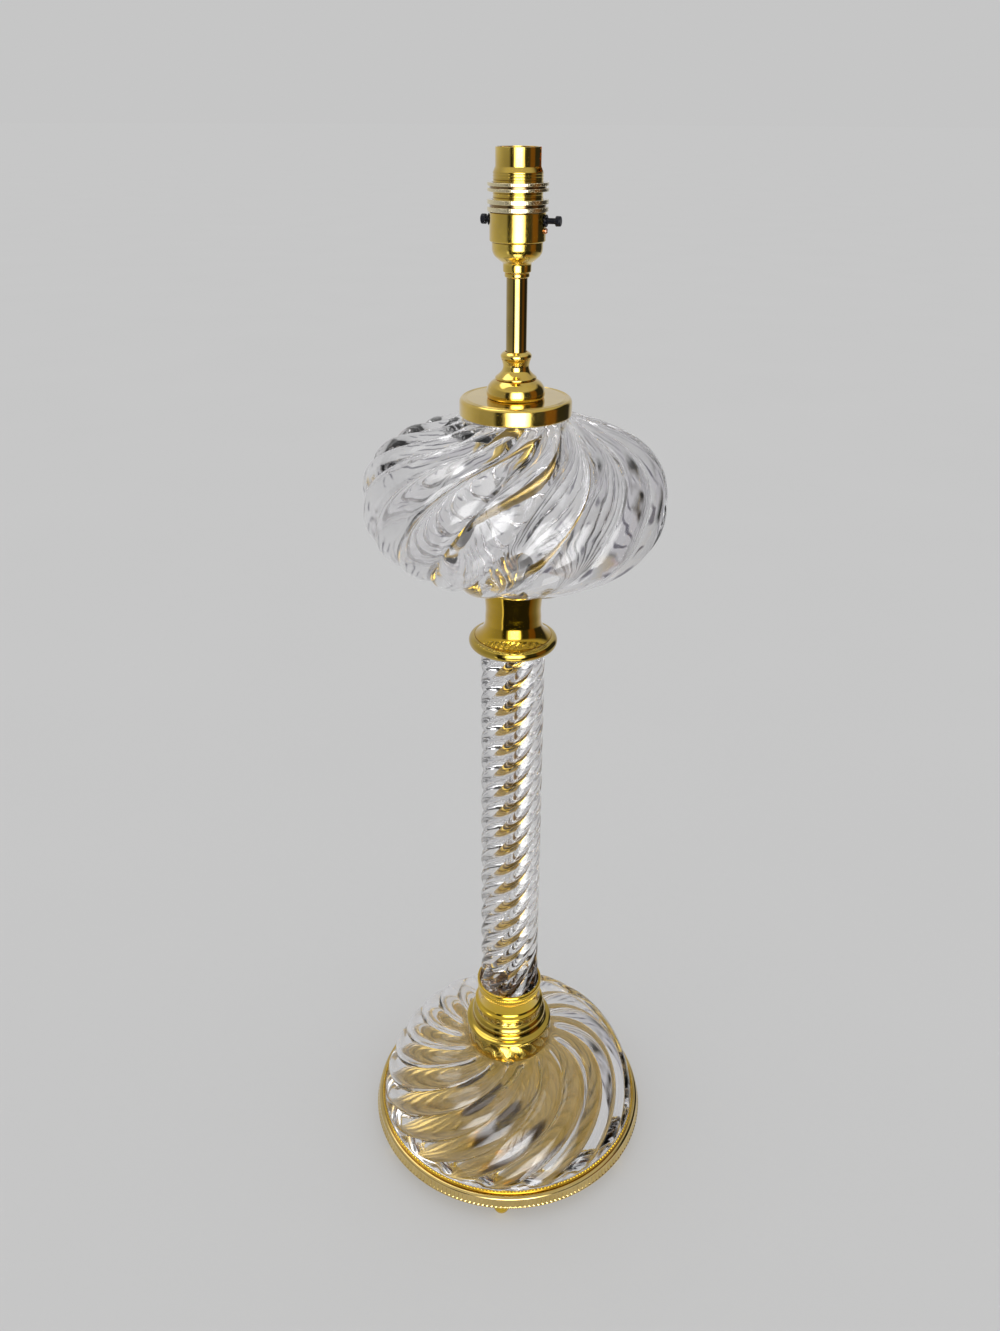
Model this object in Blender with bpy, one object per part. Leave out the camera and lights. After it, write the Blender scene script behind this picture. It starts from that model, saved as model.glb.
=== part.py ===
"""Crystal column table lamp with a brass bayonet lampholder.

The lamp is a stack of glass and brass pieces clamped on one hollow threaded rod.
Sizes are in millimetres and become metres where a mesh is made. +Z is up, the
origin is on the surface that the feet stand on, under the centre of the base,
and the push bar of the switch runs along X.
"""

import bpy
import bmesh
from math import atan2, cos, hypot, pi, radians, sin

MM = 0.001

# Clearances
FIT = 0.3
SLIDE_FIT = 0.3
SEAT_FIT = 0.4

# How finely round pieces are faceted
TINY = 12
SMALL = 16
MEDIUM = 20
LARGE = 36

# Edge rounding of turned brass, and how far cutting shapes reach past a surface
EDGE = 0.5
OVERCUT = 2.0

# Threaded rod and the brass sleeves that cover it
ROD_RADIUS = 5.0
ROD_WALL = 1.5
ROD_END_BELOW_NUT = 2.6
ROD_REACH_INTO_STEM = 24.0
SLEEVE_WALL = 0.5
NUT_WALL = 1.7
NUT_HEIGHT = 4.0

# Base glass and the beaded ring round its edge
BASE_GLASS_RADIUS = 104.7
BASE_GLASS_HEIGHT = 64.4
BASE_GLASS_BAND = 3.6
BASE_GLASS_WALL = 7.0
BASE_GLASS_HOLE_RADIUS = 12.0
BASE_DOME_FLATNESS = 5.14
BASE_DOME_SHOULDER = 1.56
BASE_LOBES = 18
BASE_LOBE_DEPTH = 4.4
BASE_LOBE_FADE = 8.0
BASE_LOBE_GROWTH = 0.6
BASE_LOBE_TURN_AT_COLLAR = 0.40
BASE_LOBE_TURN_AT_RIM = 0.85
GLASS_RING_THICKNESS = 1.7
GLASS_RING_HEIGHT = 4.9

# Base plate
PLATE_RIM_WIDTH = 1.9
PLATE_RIM_SLOPE = 2.6
PLATE_RIM_HEIGHT = 9.3
PLATE_SEAT_DEPTH = 1.3
PLATE_THICKNESS = 3.0
PLATE_FOOT_LAND = 9.0
BASE_WASHER_WIDTH = 9.7
BASE_WASHER_THICKNESS = 1.5
BUSH_FLANGE_WIDTH = 2.2
BUSH_FLANGE_THICKNESS = 1.2
BUSH_BARREL_LENGTH = 5.0
BUSH_WALL = 0.8

# Feet
FOOT_COUNT = 6
FOOT_RADIUS = 6.3
FOOT_HEIGHT = 11.7
FOOT_NECK_RADIUS = 3.6
FOOT_PAD_RADIUS = 2.8
FOOT_FROM_RIM = 8.7
FOOT_TURN = -74.0
FOOT_STUD_RADIUS = 2.0
FOOT_STUD_LENGTH = 4.0

# Collar on top of the base glass
FLANGE_RADIUS = 34.4
FLANGE_HEIGHT = 21.4
FLANGE_SIDE_HEIGHT = 17.2
FLANGE_TOP_RADIUS = 29.2
FLANGE_WALL = 2.4
STEP_RADIUS = 29.6
STEP_HEIGHT = 13.7
STEP_TOP_RADIUS = 27.0
STEP_WALL = 2.2
SOCKET_CLEARANCE = 0.7
SOCKET_WALL = 1.0
SOCKET_HEIGHT = 23.8
SOCKET_FOOT_LIP = 3.1
SOCKET_FOOT_LIP_HEIGHT = 2.4
SOCKET_TOP_LIP = 1.4
SOCKET_FLOOR = 3.0
MILLED_BAND_RISE = 0.7
MILLED_BAND_FROM_TOP = 4.0
MILLED_BAND_HEIGHT = 5.0

# Glass column
COLUMN_LENGTH = 321.0
COLUMN_FOOT_RADIUS = 22.6
COLUMN_TOP_RADIUS = 21.8
COLUMN_BORE_CLEARANCE = 1.7
COLUMN_LOBES = 10
COLUMN_LOBE_DEPTH = 2.4
COLUMN_LOBE_OFFSET = 0.245
LOBE_RISE_AT_FOOT = 17.55
LOBE_RISE_AT_TOP = 15.25
LOBE_RISE_TIGHTENS_FROM = 195.0
LOBE_RISE_TIGHTENS_TO = 290.0
COLUMN_WASHER_THICKNESS = 1.5
COLUMN_WASHER_INSET = 2.0

# Cap on the column and the bell under the reservoir
CAP_CLEARANCE = 1.0
CAP_BEAD_WIDTH = 7.2
CAP_HEIGHT = 7.8
CAP_SKIRT_DEPTH = 5.5
BELL_HEIGHT = 42.3
BELL_TOP_RADIUS = 18.9
BELL_FLARE = 6.7
BELL_FLARE_HEIGHT = 14.6
BELL_FLARE_CURVE = 3.3
BELL_WALL = 2.0
BELL_PLATE = 3.0

# Reservoir glass
RESERVOIR_RADIUS = 96.2
RESERVOIR_LOWER_HEIGHT = 51.4
RESERVOIR_UPPER_HEIGHT = 49.0
RESERVOIR_NECK_RISE = 5.4
RESERVOIR_NECK_REACH = 28.0
RESERVOIR_NECK_RADIUS = 32.4
RESERVOIR_NECK_HEIGHT = 7.0
RESERVOIR_FOOT_RADIUS = 20.0
RESERVOIR_WALL = 5.0
RESERVOIR_UPPER_FULLNESS = 2.6
RESERVOIR_LOWER_FULLNESS = 2.4
RESERVOIR_LOBES = 18
RESERVOIR_LOBE_DEPTH = 5.2
RESERVOIR_LOBE_DEPTH_AT_FOOT = 3.0
RESERVOIR_LOBE_FADE = 24.0
RESERVOIR_LOBE_SLANT = 0.68
RESERVOIR_WASHER_THICKNESS = 1.0
RESERVOIR_WASHER_INSET = 1.0

# Brass cap, dome and neck above the reservoir
RESERVOIR_CAP_WALL = 1.6
RESERVOIR_CAP_HEIGHT = 10.2
RESERVOIR_CAP_PLATE = 2.0
RESERVOIR_CAP_ROUNDING = 2.4
DOME_RADIUS = 17.8
DOME_HEIGHT = 10.6
DOME_WALL = 2.4
DOME_ROUNDING = 5.0
NECK_FOOT_WIDTH = 4.7
NECK_WAIST_WALL = 1.3
NECK_HEIGHT = 11.4
STEM_COLLAR_WIDTH = 2.75
STEM_COLLAR_HEIGHT = 4.1
STEM_WALL = 0.9
STEM_LENGTH = 57.2

# Lampholder
NIPPLE_LENGTH = 20.0
NIPPLE_IN_STEM = 11.0
NIPPLE_NUT_WIDTH = 2.0
NIPPLE_NUT_HEIGHT = 2.5
HOLDER_CAP_HEIGHT = 16.2
HOLDER_CAP_INSET = 1.4
HOLDER_CAP_NECK_WALL = 3.0
HOLDER_CAP_NECK_HEIGHT = 4.7
HOLDER_CAP_SHOULDER = 0.6
HOLDER_WALL = 1.0
BODY_HEIGHT = 15.5
BODY_CLEARANCE = 0.85
BAR_BELOW_BODY_TOP = 4.3
SKIRT_BORE_RADIUS = 11.6
SKIRT_WALL = 1.3
SKIRT_THREAD_STEP = 1.35
SKIRT_ABOVE_BODY = 33.0
SKIRT_IN_BODY = 1.1
SKIRT_TIP_LENGTH = 9.6
SKIRT_TAPER_LENGTH = 3.6
SLOT_WIDTH = 2.6
SLOT_DEPTH = 12.4
SLOT_HOOK = 4.4
RING_WIDTH = 2.75
RING_GROOVE_DEPTH = 1.3
LOWER_RING_HEIGHT = 6.3
UPPER_RING_HEIGHT = 4.7
RING_SPACING = 4.0
RING_GROOVE_SHARE = 0.24

# Insulators, contacts and the push bar switch
BLOCK_ABOVE_SEAM = 1.8
INSULATOR_HEIGHT = 15.1
CONTACT_OFFSET = 5.2
CONTACT_RADIUS = 2.3
CONTACT_ABOVE_INSULATOR = 5.0
CONTACT_HEAD_LENGTH = 10.4
CONTACT_TIP = 1.0
CONTACT_STEM_RADIUS = 0.9
CONTACT_STEM_LENGTH = 3.0
CONTACT_BORE_FLOOR = 2.0
SPRING_WIRE_RADIUS = 0.25
SPRING_TURNS = 4
BAR_RADIUS = 1.6
BAR_TRAVEL = 3.7
KNOB_RADIUS = 2.75
KNOB_LENGTH = 2.9
KNOB_CLEARANCE = 1.6
SWITCH_BUSH_WALL = 0.7
SWITCH_BUSH_FLANGE = 0.7
SWITCH_BUSH_THICKNESS = 0.8
SWITCH_BUSH_IN_BODY = 0.1
EARTH_SCREW_GAP = 0.4
EARTH_SCREW_HEAD_RADIUS = 1.6
EARTH_SCREW_HEAD_LENGTH = 1.3
EARTH_SCREW_SHANK_RADIUS = 0.9
DISC_RADIUS = 2.8
DISC_THICKNESS = 1.0
DISC_GROOVE_DEPTH = 0.6
BLADE_THICKNESS = 0.8
BLADE_WIDTH = 2.4
BLADE_ABOVE_BAR = 2.0
BLADE_BELOW_BAR = 7.0
TERMINAL_OFFSET = 7.5
TERMINAL_HEAD_RADIUS = 2.3
TERMINAL_HEAD_LENGTH = 1.6
TERMINAL_SHANK_RADIUS = 1.3
TERMINAL_SHANK_LENGTH = 4.5
GRUB_SCREW_RADIUS = 1.0

# Radii that follow from the ones above
ROD_HOLE = ROD_RADIUS + FIT
ROD_BORE_RADIUS = ROD_RADIUS - ROD_WALL
SLEEVE_RADIUS = ROD_HOLE + SLEEVE_WALL
SLEEVE_HOLE = SLEEVE_RADIUS + SEAT_FIT
STEM_RADIUS = ROD_HOLE + STEM_WALL
STEM_HOLE = STEM_RADIUS + SEAT_FIT
GLASS_SEAT_RADIUS = BASE_GLASS_RADIUS + SEAT_FIT
RING_SEAT_RADIUS = GLASS_SEAT_RADIUS + GLASS_RING_THICKNESS
PLATE_SEAT_RADIUS = RING_SEAT_RADIUS + SEAT_FIT
PLATE_TOP_RADIUS = PLATE_SEAT_RADIUS + PLATE_RIM_WIDTH
PLATE_RIM_RADIUS = PLATE_TOP_RADIUS + PLATE_RIM_SLOPE
FOOT_CIRCLE_RADIUS = PLATE_RIM_RADIUS - FOOT_FROM_RIM
PLATE_RECESS_RADIUS = FOOT_CIRCLE_RADIUS - PLATE_FOOT_LAND
SOCKET_BORE = COLUMN_FOOT_RADIUS + SOCKET_CLEARANCE
SOCKET_RADIUS = SOCKET_BORE + SOCKET_WALL
COLUMN_BORE_RADIUS = SLEEVE_RADIUS + COLUMN_BORE_CLEARANCE
CAP_SKIRT_BORE = COLUMN_TOP_RADIUS + CAP_CLEARANCE
SKIRT_TIP_RADIUS = SKIRT_BORE_RADIUS + SKIRT_WALL
SKIRT_RADIUS = SKIRT_TIP_RADIUS + SKIRT_THREAD_STEP
RING_BORE = SKIRT_RADIUS + SLIDE_FIT
RING_RADIUS = RING_BORE + RING_WIDTH
BODY_BORE = SKIRT_RADIUS + BODY_CLEARANCE
BODY_RADIUS = BODY_BORE + HOLDER_WALL
BLOCK_RADIUS = BODY_BORE - SEAT_FIT
HOLDER_CAP_RADIUS = BODY_RADIUS - HOLDER_CAP_INSET
HOLDER_CAP_NECK_RADIUS = ROD_HOLE + HOLDER_CAP_NECK_WALL
CONTACT_BORE_RADIUS = CONTACT_RADIUS + SEAT_FIT
BAR_CHANNEL = BAR_RADIUS + SLIDE_FIT
SWITCH_BUSH_BARREL_RADIUS = BAR_CHANNEL + SWITCH_BUSH_WALL
SWITCH_BUSH_RADIUS = SWITCH_BUSH_BARREL_RADIUS + SWITCH_BUSH_FLANGE
SWITCH_BUSH_FACE = BODY_RADIUS + FIT + SWITCH_BUSH_THICKNESS
EARTH_SCREW_BELOW_BAR = SWITCH_BUSH_RADIUS + EARTH_SCREW_GAP + EARTH_SCREW_HEAD_RADIUS
BAR_LEFT_STOP = SWITCH_BUSH_FACE + KNOB_CLEARANCE
BAR_RIGHT_STOP = BAR_LEFT_STOP + BAR_TRAVEL
BAR_NECK = BAR_RADIUS - DISC_GROOVE_DEPTH
DISC_X = BAR_TRAVEL / 2.0
DISC_FACE = DISC_X + DISC_THICKNESS / 2.0
BLADE_X = DISC_FACE + FIT
BLADE_Y = BAR_RADIUS + SEAT_FIT

# Levels up the stack, each one resting on the piece below
PLATE_Z = FOOT_HEIGHT + FIT
PLATE_TOP_Z = PLATE_Z + PLATE_RIM_HEIGHT - PLATE_SEAT_DEPTH
PLATE_UNDER_Z = PLATE_TOP_Z - PLATE_THICKNESS
BASE_WASHER_Z = PLATE_UNDER_Z - FIT - BASE_WASHER_THICKNESS
BASE_NUT_Z = BASE_WASHER_Z - FIT - NUT_HEIGHT
ROD_Z = BASE_NUT_Z - ROD_END_BELOW_NUT
BASE_GLASS_Z = PLATE_TOP_Z + FIT
FLANGE_Z = BASE_GLASS_Z + BASE_GLASS_HEIGHT + FIT
STEP_Z = FLANGE_Z + FLANGE_HEIGHT + FIT
SOCKET_Z = STEP_Z + STEP_HEIGHT + FIT
SOCKET_FLOOR_Z = SOCKET_Z + SOCKET_FLOOR
COLUMN_LOWER_WASHER_Z = SOCKET_FLOOR_Z + FIT
COLUMN_Z = COLUMN_LOWER_WASHER_Z + COLUMN_WASHER_THICKNESS + FIT
COLUMN_UPPER_WASHER_Z = COLUMN_Z + COLUMN_LENGTH + FIT
CAP_PLATE_Z = COLUMN_UPPER_WASHER_Z + COLUMN_WASHER_THICKNESS + FIT
CAP_Z = CAP_PLATE_Z - CAP_SKIRT_DEPTH
BELL_Z = CAP_Z + CAP_HEIGHT + FIT
BELL_TOP_Z = BELL_Z + BELL_HEIGHT
RESERVOIR_LOWER_WASHER_Z = BELL_TOP_Z + FIT
RESERVOIR_Z = RESERVOIR_LOWER_WASHER_Z + RESERVOIR_WASHER_THICKNESS + FIT


def reservoir_upper(radius):
    """Height of the reservoir's upper half above its foot, at a radius."""
    share = min(radius / RESERVOIR_RADIUS, 1.0)
    fullness = RESERVOIR_UPPER_FULLNESS
    crown = RESERVOIR_UPPER_HEIGHT * (1.0 - share ** fullness) ** (1.0 / fullness)
    reach = max(0.0, (RESERVOIR_NECK_RADIUS + RESERVOIR_NECK_REACH - radius) / RESERVOIR_NECK_REACH)
    return RESERVOIR_LOWER_HEIGHT + crown + RESERVOIR_NECK_RISE * reach ** 1.5


RESERVOIR_SHOULDER = reservoir_upper(RESERVOIR_NECK_RADIUS)
RESERVOIR_TOP_Z = RESERVOIR_Z + RESERVOIR_SHOULDER + RESERVOIR_NECK_HEIGHT
RESERVOIR_UPPER_WASHER_Z = RESERVOIR_TOP_Z + FIT
RESERVOIR_CAP_PLATE_Z = RESERVOIR_UPPER_WASHER_Z + RESERVOIR_WASHER_THICKNESS + FIT
RESERVOIR_CAP_Z = RESERVOIR_CAP_PLATE_Z + RESERVOIR_CAP_PLATE - RESERVOIR_CAP_HEIGHT
DOME_Z = RESERVOIR_CAP_PLATE_Z + RESERVOIR_CAP_PLATE + FIT
NECK_Z = DOME_Z + DOME_HEIGHT + FIT
STEM_COLLAR_Z = NECK_Z + NECK_HEIGHT + FIT
STEM_TOP_Z = NECK_Z + STEM_LENGTH
ROD_TOP_Z = NECK_Z + ROD_REACH_INTO_STEM
NIPPLE_Z = STEM_TOP_Z - NIPPLE_IN_STEM
NIPPLE_NUT_Z = STEM_TOP_Z + FIT
HOLDER_CAP_Z = NIPPLE_NUT_Z + NIPPLE_NUT_HEIGHT + FIT
HOLDER_BODY_Z = HOLDER_CAP_Z + HOLDER_CAP_HEIGHT + FIT
BODY_TOP_Z = HOLDER_BODY_Z + BODY_HEIGHT
BAR_Z = BODY_TOP_Z - BAR_BELOW_BODY_TOP
SKIRT_Z = BODY_TOP_Z - SKIRT_IN_BODY
SKIRT_TOP_Z = BODY_TOP_Z + SKIRT_ABOVE_BODY
BLOCK_Z = HOLDER_BODY_Z + BLOCK_ABOVE_SEAM
BLOCK_TOP_Z = SKIRT_Z - FIT
INSULATOR_TOP_Z = SKIRT_Z + INSULATOR_HEIGHT
LOWER_RING_Z = BODY_TOP_Z + FIT
UPPER_RING_Z = LOWER_RING_Z + LOWER_RING_HEIGHT + RING_SPACING
CONTACT_BORE_Z = SKIRT_Z + CONTACT_BORE_FLOOR
CONTACT_HEAD_Z = INSULATOR_TOP_Z + CONTACT_ABOVE_INSULATOR - CONTACT_HEAD_LENGTH


def clear_scene():
    for thing in list(bpy.data.objects):
        bpy.data.objects.remove(thing)


def make_material(name, colour, roughness, metallic, transmission=0.0):
    material = bpy.data.materials.new(name)
    material.use_nodes = True
    shader = material.node_tree.nodes["Principled BSDF"]
    shader.inputs["Base Color"].default_value = (*colour, 1.0)
    shader.inputs["Roughness"].default_value = roughness
    shader.inputs["Metallic"].default_value = metallic
    shader.inputs["Transmission Weight"].default_value = transmission
    material.diffuse_color = (*colour, 1.0)
    return material


def finish_mesh(name, work, material, place):
    """Turn a bmesh into an object whose round faces are shaded smooth."""
    bmesh.ops.recalc_face_normals(work, faces=work.faces)
    mesh = bpy.data.meshes.new(name)
    work.to_mesh(mesh)
    work.free()
    mesh.materials.append(material)
    mesh.shade_smooth()
    mesh.set_sharp_from_angle(angle=radians(35.0))
    thing = bpy.data.objects.new(name, mesh)
    thing.location = [value * MM for value in place]
    bpy.context.scene.collection.objects.link(thing)
    return thing


def turned(name, outline, facets, material, height=0.0, place=None):
    """Spin an outline of (radius, height) points round Z.

    An outline that starts and ends on the axis makes a solid piece. Any other
    outline is closed on itself and makes a piece with a hole.
    """
    work = bmesh.new()
    points = [work.verts.new((radius * MM, 0.0, z * MM)) for radius, z in outline]
    edges = [work.edges.new(pair) for pair in zip(points, points[1:])]
    on_axis = outline[0][0] == 0.0 and outline[-1][0] == 0.0
    if not on_axis:
        edges.append(work.edges.new((points[-1], points[0])))
    bmesh.ops.spin(work, geom=points + edges, cent=(0, 0, 0), axis=(0, 0, 1),
                   angle=2.0 * pi, steps=facets, use_merge=True)
    bmesh.ops.remove_doubles(work, verts=work.verts, dist=1e-6)
    return finish_mesh(name, work, material, place or (0.0, 0.0, height))


def ring_skin(name, rings, material, height=0.0):
    """Skin a list of closed rings of points, the last one joined to the first."""
    work = bmesh.new()
    loops = [[work.verts.new([value * MM for value in point]) for point in ring] for ring in rings]
    for first, second in zip(loops, loops[1:] + loops[:1]):
        count = len(first)
        for index in range(count):
            after = (index + 1) % count
            work.faces.new((first[index], first[after], second[after], second[index]))
    return finish_mesh(name, work, material, (0.0, 0.0, height))


def circle(radius, z, count, turn=0.0):
    """A ring of points round Z, turned by an angle in radians."""
    angles = [turn + 2.0 * pi * index / count for index in range(count)]
    return [(radius * cos(angle), radius * sin(angle), z) for angle in angles]


def lobed_circle(radius, z, lobes, steps, depth, turn, tilt=0.0):
    """A ring of rounded lobes that meet in grooves, cut square to a surface tilted up."""
    points = []
    for index in range(lobes * steps):
        share = index / steps
        angle = turn + 2.0 * pi * share / lobes
        cut_in = depth * (1.0 - abs(sin(pi * share)))
        reach = radius - cut_in * cos(tilt)
        points.append((reach * cos(angle), reach * sin(angle), z - cut_in * sin(tilt)))
    return points


def blend(value, low, high):
    """0 below low, 1 above high, and a smooth rise between."""
    share = min(max((value - low) / (high - low), 0.0), 1.0)
    return share * share * (3.0 - 2.0 * share)


def cutter(thing):
    """Mark an object as a cutting shape that isn't part of the lamp."""
    thing.hide_render = True
    thing.display_type = "WIRE"
    return thing


def cut(thing, tool):
    modifier = thing.modifiers.new(tool.name, "BOOLEAN")
    modifier.operation = "DIFFERENCE"
    modifier.solver = "EXACT"
    modifier.object = tool


def cylinder_cutter(name, radius, low, high, place, material, along="Z"):
    """A cutting cylinder from low to high along an axis through a place."""
    outline = [(0.0, low), (radius, low), (radius, high), (0.0, high)]
    tool = turned(name, outline, TINY, material, place=place)
    if along == "X":
        tool.rotation_euler = (0.0, radians(90.0), 0.0)
    if along == "Y":
        tool.rotation_euler = (radians(-90.0), 0.0, 0.0)
    return cutter(tool)


def box(name, low, high, material):
    work = bmesh.new()
    bmesh.ops.create_cube(work, size=1.0)
    for vert in work.verts:
        for axis in range(3):
            edge = high[axis] if vert.co[axis] > 0.0 else low[axis]
            vert.co[axis] = edge * MM
    return finish_mesh(name, work, material, (0.0, 0.0, 0.0))


def hex_nut(name, height, z, material):
    """A six-sided nut whose bore has a facet for each corner and each flat."""
    flat = ROD_HOLE + NUT_WALL
    corner = flat / cos(radians(30.0))
    bore = ROD_HOLE / cos(pi / TINY)
    corners = circle(corner, 0.0, TINY)[::2]
    flats = circle(flat, 0.0, TINY)[1::2]
    outside = [point for pair in zip(corners, flats) for point in pair]
    top = [(x, y, height) for x, y, _ in outside]
    rings = [outside, top, circle(bore, height, TINY), circle(bore, 0.0, TINY)]
    return ring_skin(name, rings, material, z)


def washer(name, outer, inner, thickness, z, material, facets=SMALL):
    outline = [(outer, 0.0), (outer, thickness), (inner, thickness), (inner, 0.0)]
    return turned(name, outline, facets, material, z)


def tube(name, outer, inner, low, high, material):
    outline = [(outer, 0.0), (outer, high - low), (inner, high - low), (inner, 0.0)]
    return turned(name, outline, SMALL, material, low)


def make_feet(brass):
    """Six bun feet, each with a stud that screws up into the plate."""
    swell = [(FOOT_PAD_RADIUS, 0.0), (FOOT_RADIUS * 0.86, FOOT_HEIGHT * 0.2),
             (FOOT_RADIUS, FOOT_HEIGHT * 0.45), (FOOT_RADIUS * 0.8, FOOT_HEIGHT * 0.75),
             (FOOT_NECK_RADIUS, FOOT_HEIGHT)]
    stud_top = FOOT_HEIGHT + FIT + FOOT_STUD_LENGTH
    stud = [(FOOT_STUD_RADIUS, FOOT_HEIGHT), (FOOT_STUD_RADIUS, stud_top)]
    outline = [(0.0, 0.0)] + swell + stud + [(0.0, stud_top)]
    for index in range(FOOT_COUNT):
        angle = radians(FOOT_TURN + 360.0 * index / FOOT_COUNT)
        place = (FOOT_CIRCLE_RADIUS * cos(angle), FOOT_CIRCLE_RADIUS * sin(angle), 0.0)
        turned(f"foot_{index + 1}", outline, TINY, brass, place=place)


def make_base_plate(brass):
    """Cast plate: a sloping rim, a sunk seat for the glass and a recess below."""
    rim_top = PLATE_RIM_HEIGHT
    seat = rim_top - PLATE_SEAT_DEPTH
    under = seat - PLATE_THICKNESS
    outline = [(PLATE_RIM_RADIUS - EDGE, 0.0), (PLATE_RIM_RADIUS, EDGE), (PLATE_TOP_RADIUS, rim_top),
               (PLATE_SEAT_RADIUS, rim_top), (PLATE_SEAT_RADIUS, seat), (ROD_HOLE, seat),
               (ROD_HOLE, under), (PLATE_RECESS_RADIUS, under), (PLATE_RECESS_RADIUS, 0.0)]
    plate = turned("base_plate", outline, LARGE, brass, PLATE_Z)
    for index in range(FOOT_COUNT):
        angle = radians(FOOT_TURN + 360.0 * index / FOOT_COUNT)
        place = (FOOT_CIRCLE_RADIUS * cos(angle), FOOT_CIRCLE_RADIUS * sin(angle), PLATE_Z)
        tool = cylinder_cutter(f"stud_hole_{index + 1}", FOOT_STUD_RADIUS + FIT, -OVERCUT,
                               FOOT_STUD_LENGTH + FIT, place, brass)
        cut(plate, tool)


def make_rod_and_nuts(steel, brass, plastic):
    """The rod that holds the stack together, with its nuts, washer and cord bush."""
    tube("tie_rod", ROD_RADIUS, ROD_BORE_RADIUS, ROD_Z, ROD_TOP_Z, steel)
    tube("column_sleeve", SLEEVE_RADIUS, ROD_HOLE, SOCKET_FLOOR_Z + FIT, CAP_PLATE_Z - FIT, brass)
    tube("reservoir_sleeve", SLEEVE_RADIUS, ROD_HOLE, BELL_TOP_Z + FIT, RESERVOIR_CAP_PLATE_Z - FIT, brass)
    washer_radius = ROD_HOLE + BASE_WASHER_WIDTH
    washer("base_washer", washer_radius, ROD_HOLE, BASE_WASHER_THICKNESS, BASE_WASHER_Z, steel)
    hex_nut("base_nut", NUT_HEIGHT, BASE_NUT_Z, steel)
    hex_nut("top_nut", NUT_HEIGHT, DOME_Z, steel)
    barrel = ROD_BORE_RADIUS - FIT
    bore = barrel - BUSH_WALL
    flange = BUSH_FLANGE_THICKNESS
    outline = [(barrel + BUSH_FLANGE_WIDTH, 0.0), (barrel + BUSH_FLANGE_WIDTH, flange), (barrel, flange),
               (barrel, flange + BUSH_BARREL_LENGTH), (bore, flange + BUSH_BARREL_LENGTH), (bore, 0.0)]
    turned("rod_end_bush", outline, SMALL, plastic, ROD_Z - FIT - flange)


def base_dome(radius, outer_radius, height):
    """Height of the base glass's dome above its edge, at a radius."""
    share = min(radius / outer_radius, 1.0)
    return height * (1.0 - share ** BASE_DOME_FLATNESS) ** (1.0 / BASE_DOME_SHOULDER)


def make_base_glass(glass, stations=8, steps=4):
    """Pressed dome with a smooth inside and swirled lobes outside."""
    crown = BASE_GLASS_HEIGHT - BASE_GLASS_BAND
    rings = []
    turn = 0.0
    last = None
    for index in range(stations + 1):
        share = sin(0.5 * pi * index / stations)
        radius = BASE_GLASS_HOLE_RADIUS + (BASE_GLASS_RADIUS - BASE_GLASS_HOLE_RADIUS) * share
        z = BASE_GLASS_BAND + base_dome(radius, BASE_GLASS_RADIUS, crown)
        tilt = 0.5 * pi
        if last:
            step = hypot(radius - last[0], z - last[1])
            rate = BASE_LOBE_TURN_AT_COLLAR + (BASE_LOBE_TURN_AT_RIM - BASE_LOBE_TURN_AT_COLLAR) * share ** 4
            turn -= radians(rate) * step
            tilt = atan2(radius - last[0], last[1] - z)
        growth = (radius / BASE_GLASS_RADIUS) ** BASE_LOBE_GROWTH
        depth = BASE_LOBE_DEPTH * growth * blend(radius, FLANGE_RADIUS, FLANGE_RADIUS + BASE_LOBE_FADE)
        if index == stations:
            depth = 0.0
        rings.append(lobed_circle(radius, z, BASE_LOBES, steps, depth, turn, tilt))
        last = (radius, z)
    count = BASE_LOBES * steps
    inner_radius = BASE_GLASS_RADIUS - BASE_GLASS_WALL
    inner_crown = crown - BASE_GLASS_WALL
    rings.append(circle(BASE_GLASS_RADIUS, 0.0, count, turn))
    rings.append(circle(inner_radius, 0.0, count, turn))
    for share in (0.97, 0.82, 0.5):
        radius = inner_radius * share
        z = BASE_GLASS_BAND + base_dome(radius, inner_radius, inner_crown)
        rings.append(circle(radius, z, count, turn))
    rings.append(circle(BASE_GLASS_HOLE_RADIUS, BASE_GLASS_BAND + inner_crown, count, 0.0))
    ring_skin("base_glass", rings, glass, BASE_GLASS_Z)


def make_glass_ring(brass):
    """Gallery ring that hides the edge of the base glass."""
    outline = [(RING_SEAT_RADIUS, 0.0), (RING_SEAT_RADIUS, GLASS_RING_HEIGHT - EDGE),
               (RING_SEAT_RADIUS - EDGE, GLASS_RING_HEIGHT), (GLASS_SEAT_RADIUS, GLASS_RING_HEIGHT),
               (GLASS_SEAT_RADIUS, 0.0)]
    turned("glass_ring", outline, LARGE, brass, BASE_GLASS_Z)


def make_flange(brass):
    """Drum that sits on the base glass, curved in at the top like an S."""
    inner = FLANGE_RADIUS - FLANGE_WALL
    side = FLANGE_SIDE_HEIGHT
    rise = FLANGE_HEIGHT - side
    spread = FLANGE_RADIUS - FLANGE_TOP_RADIUS
    shoulder = [(FLANGE_TOP_RADIUS + spread * share, side + rise * level)
                for share, level in ((1.0, 0.0), (0.78, 0.3), (0.27, 0.48), (0.0, 1.0))]
    ceiling = FLANGE_HEIGHT - FLANGE_WALL
    outline = [(FLANGE_RADIUS, 0.0)] + shoulder + [
        (ROD_HOLE, FLANGE_HEIGHT), (ROD_HOLE, ceiling), (inner - spread, ceiling),
        (inner, side - FLANGE_WALL), (inner, 0.0)]
    turned("collar_flange", outline, MEDIUM, brass, FLANGE_Z)


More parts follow.
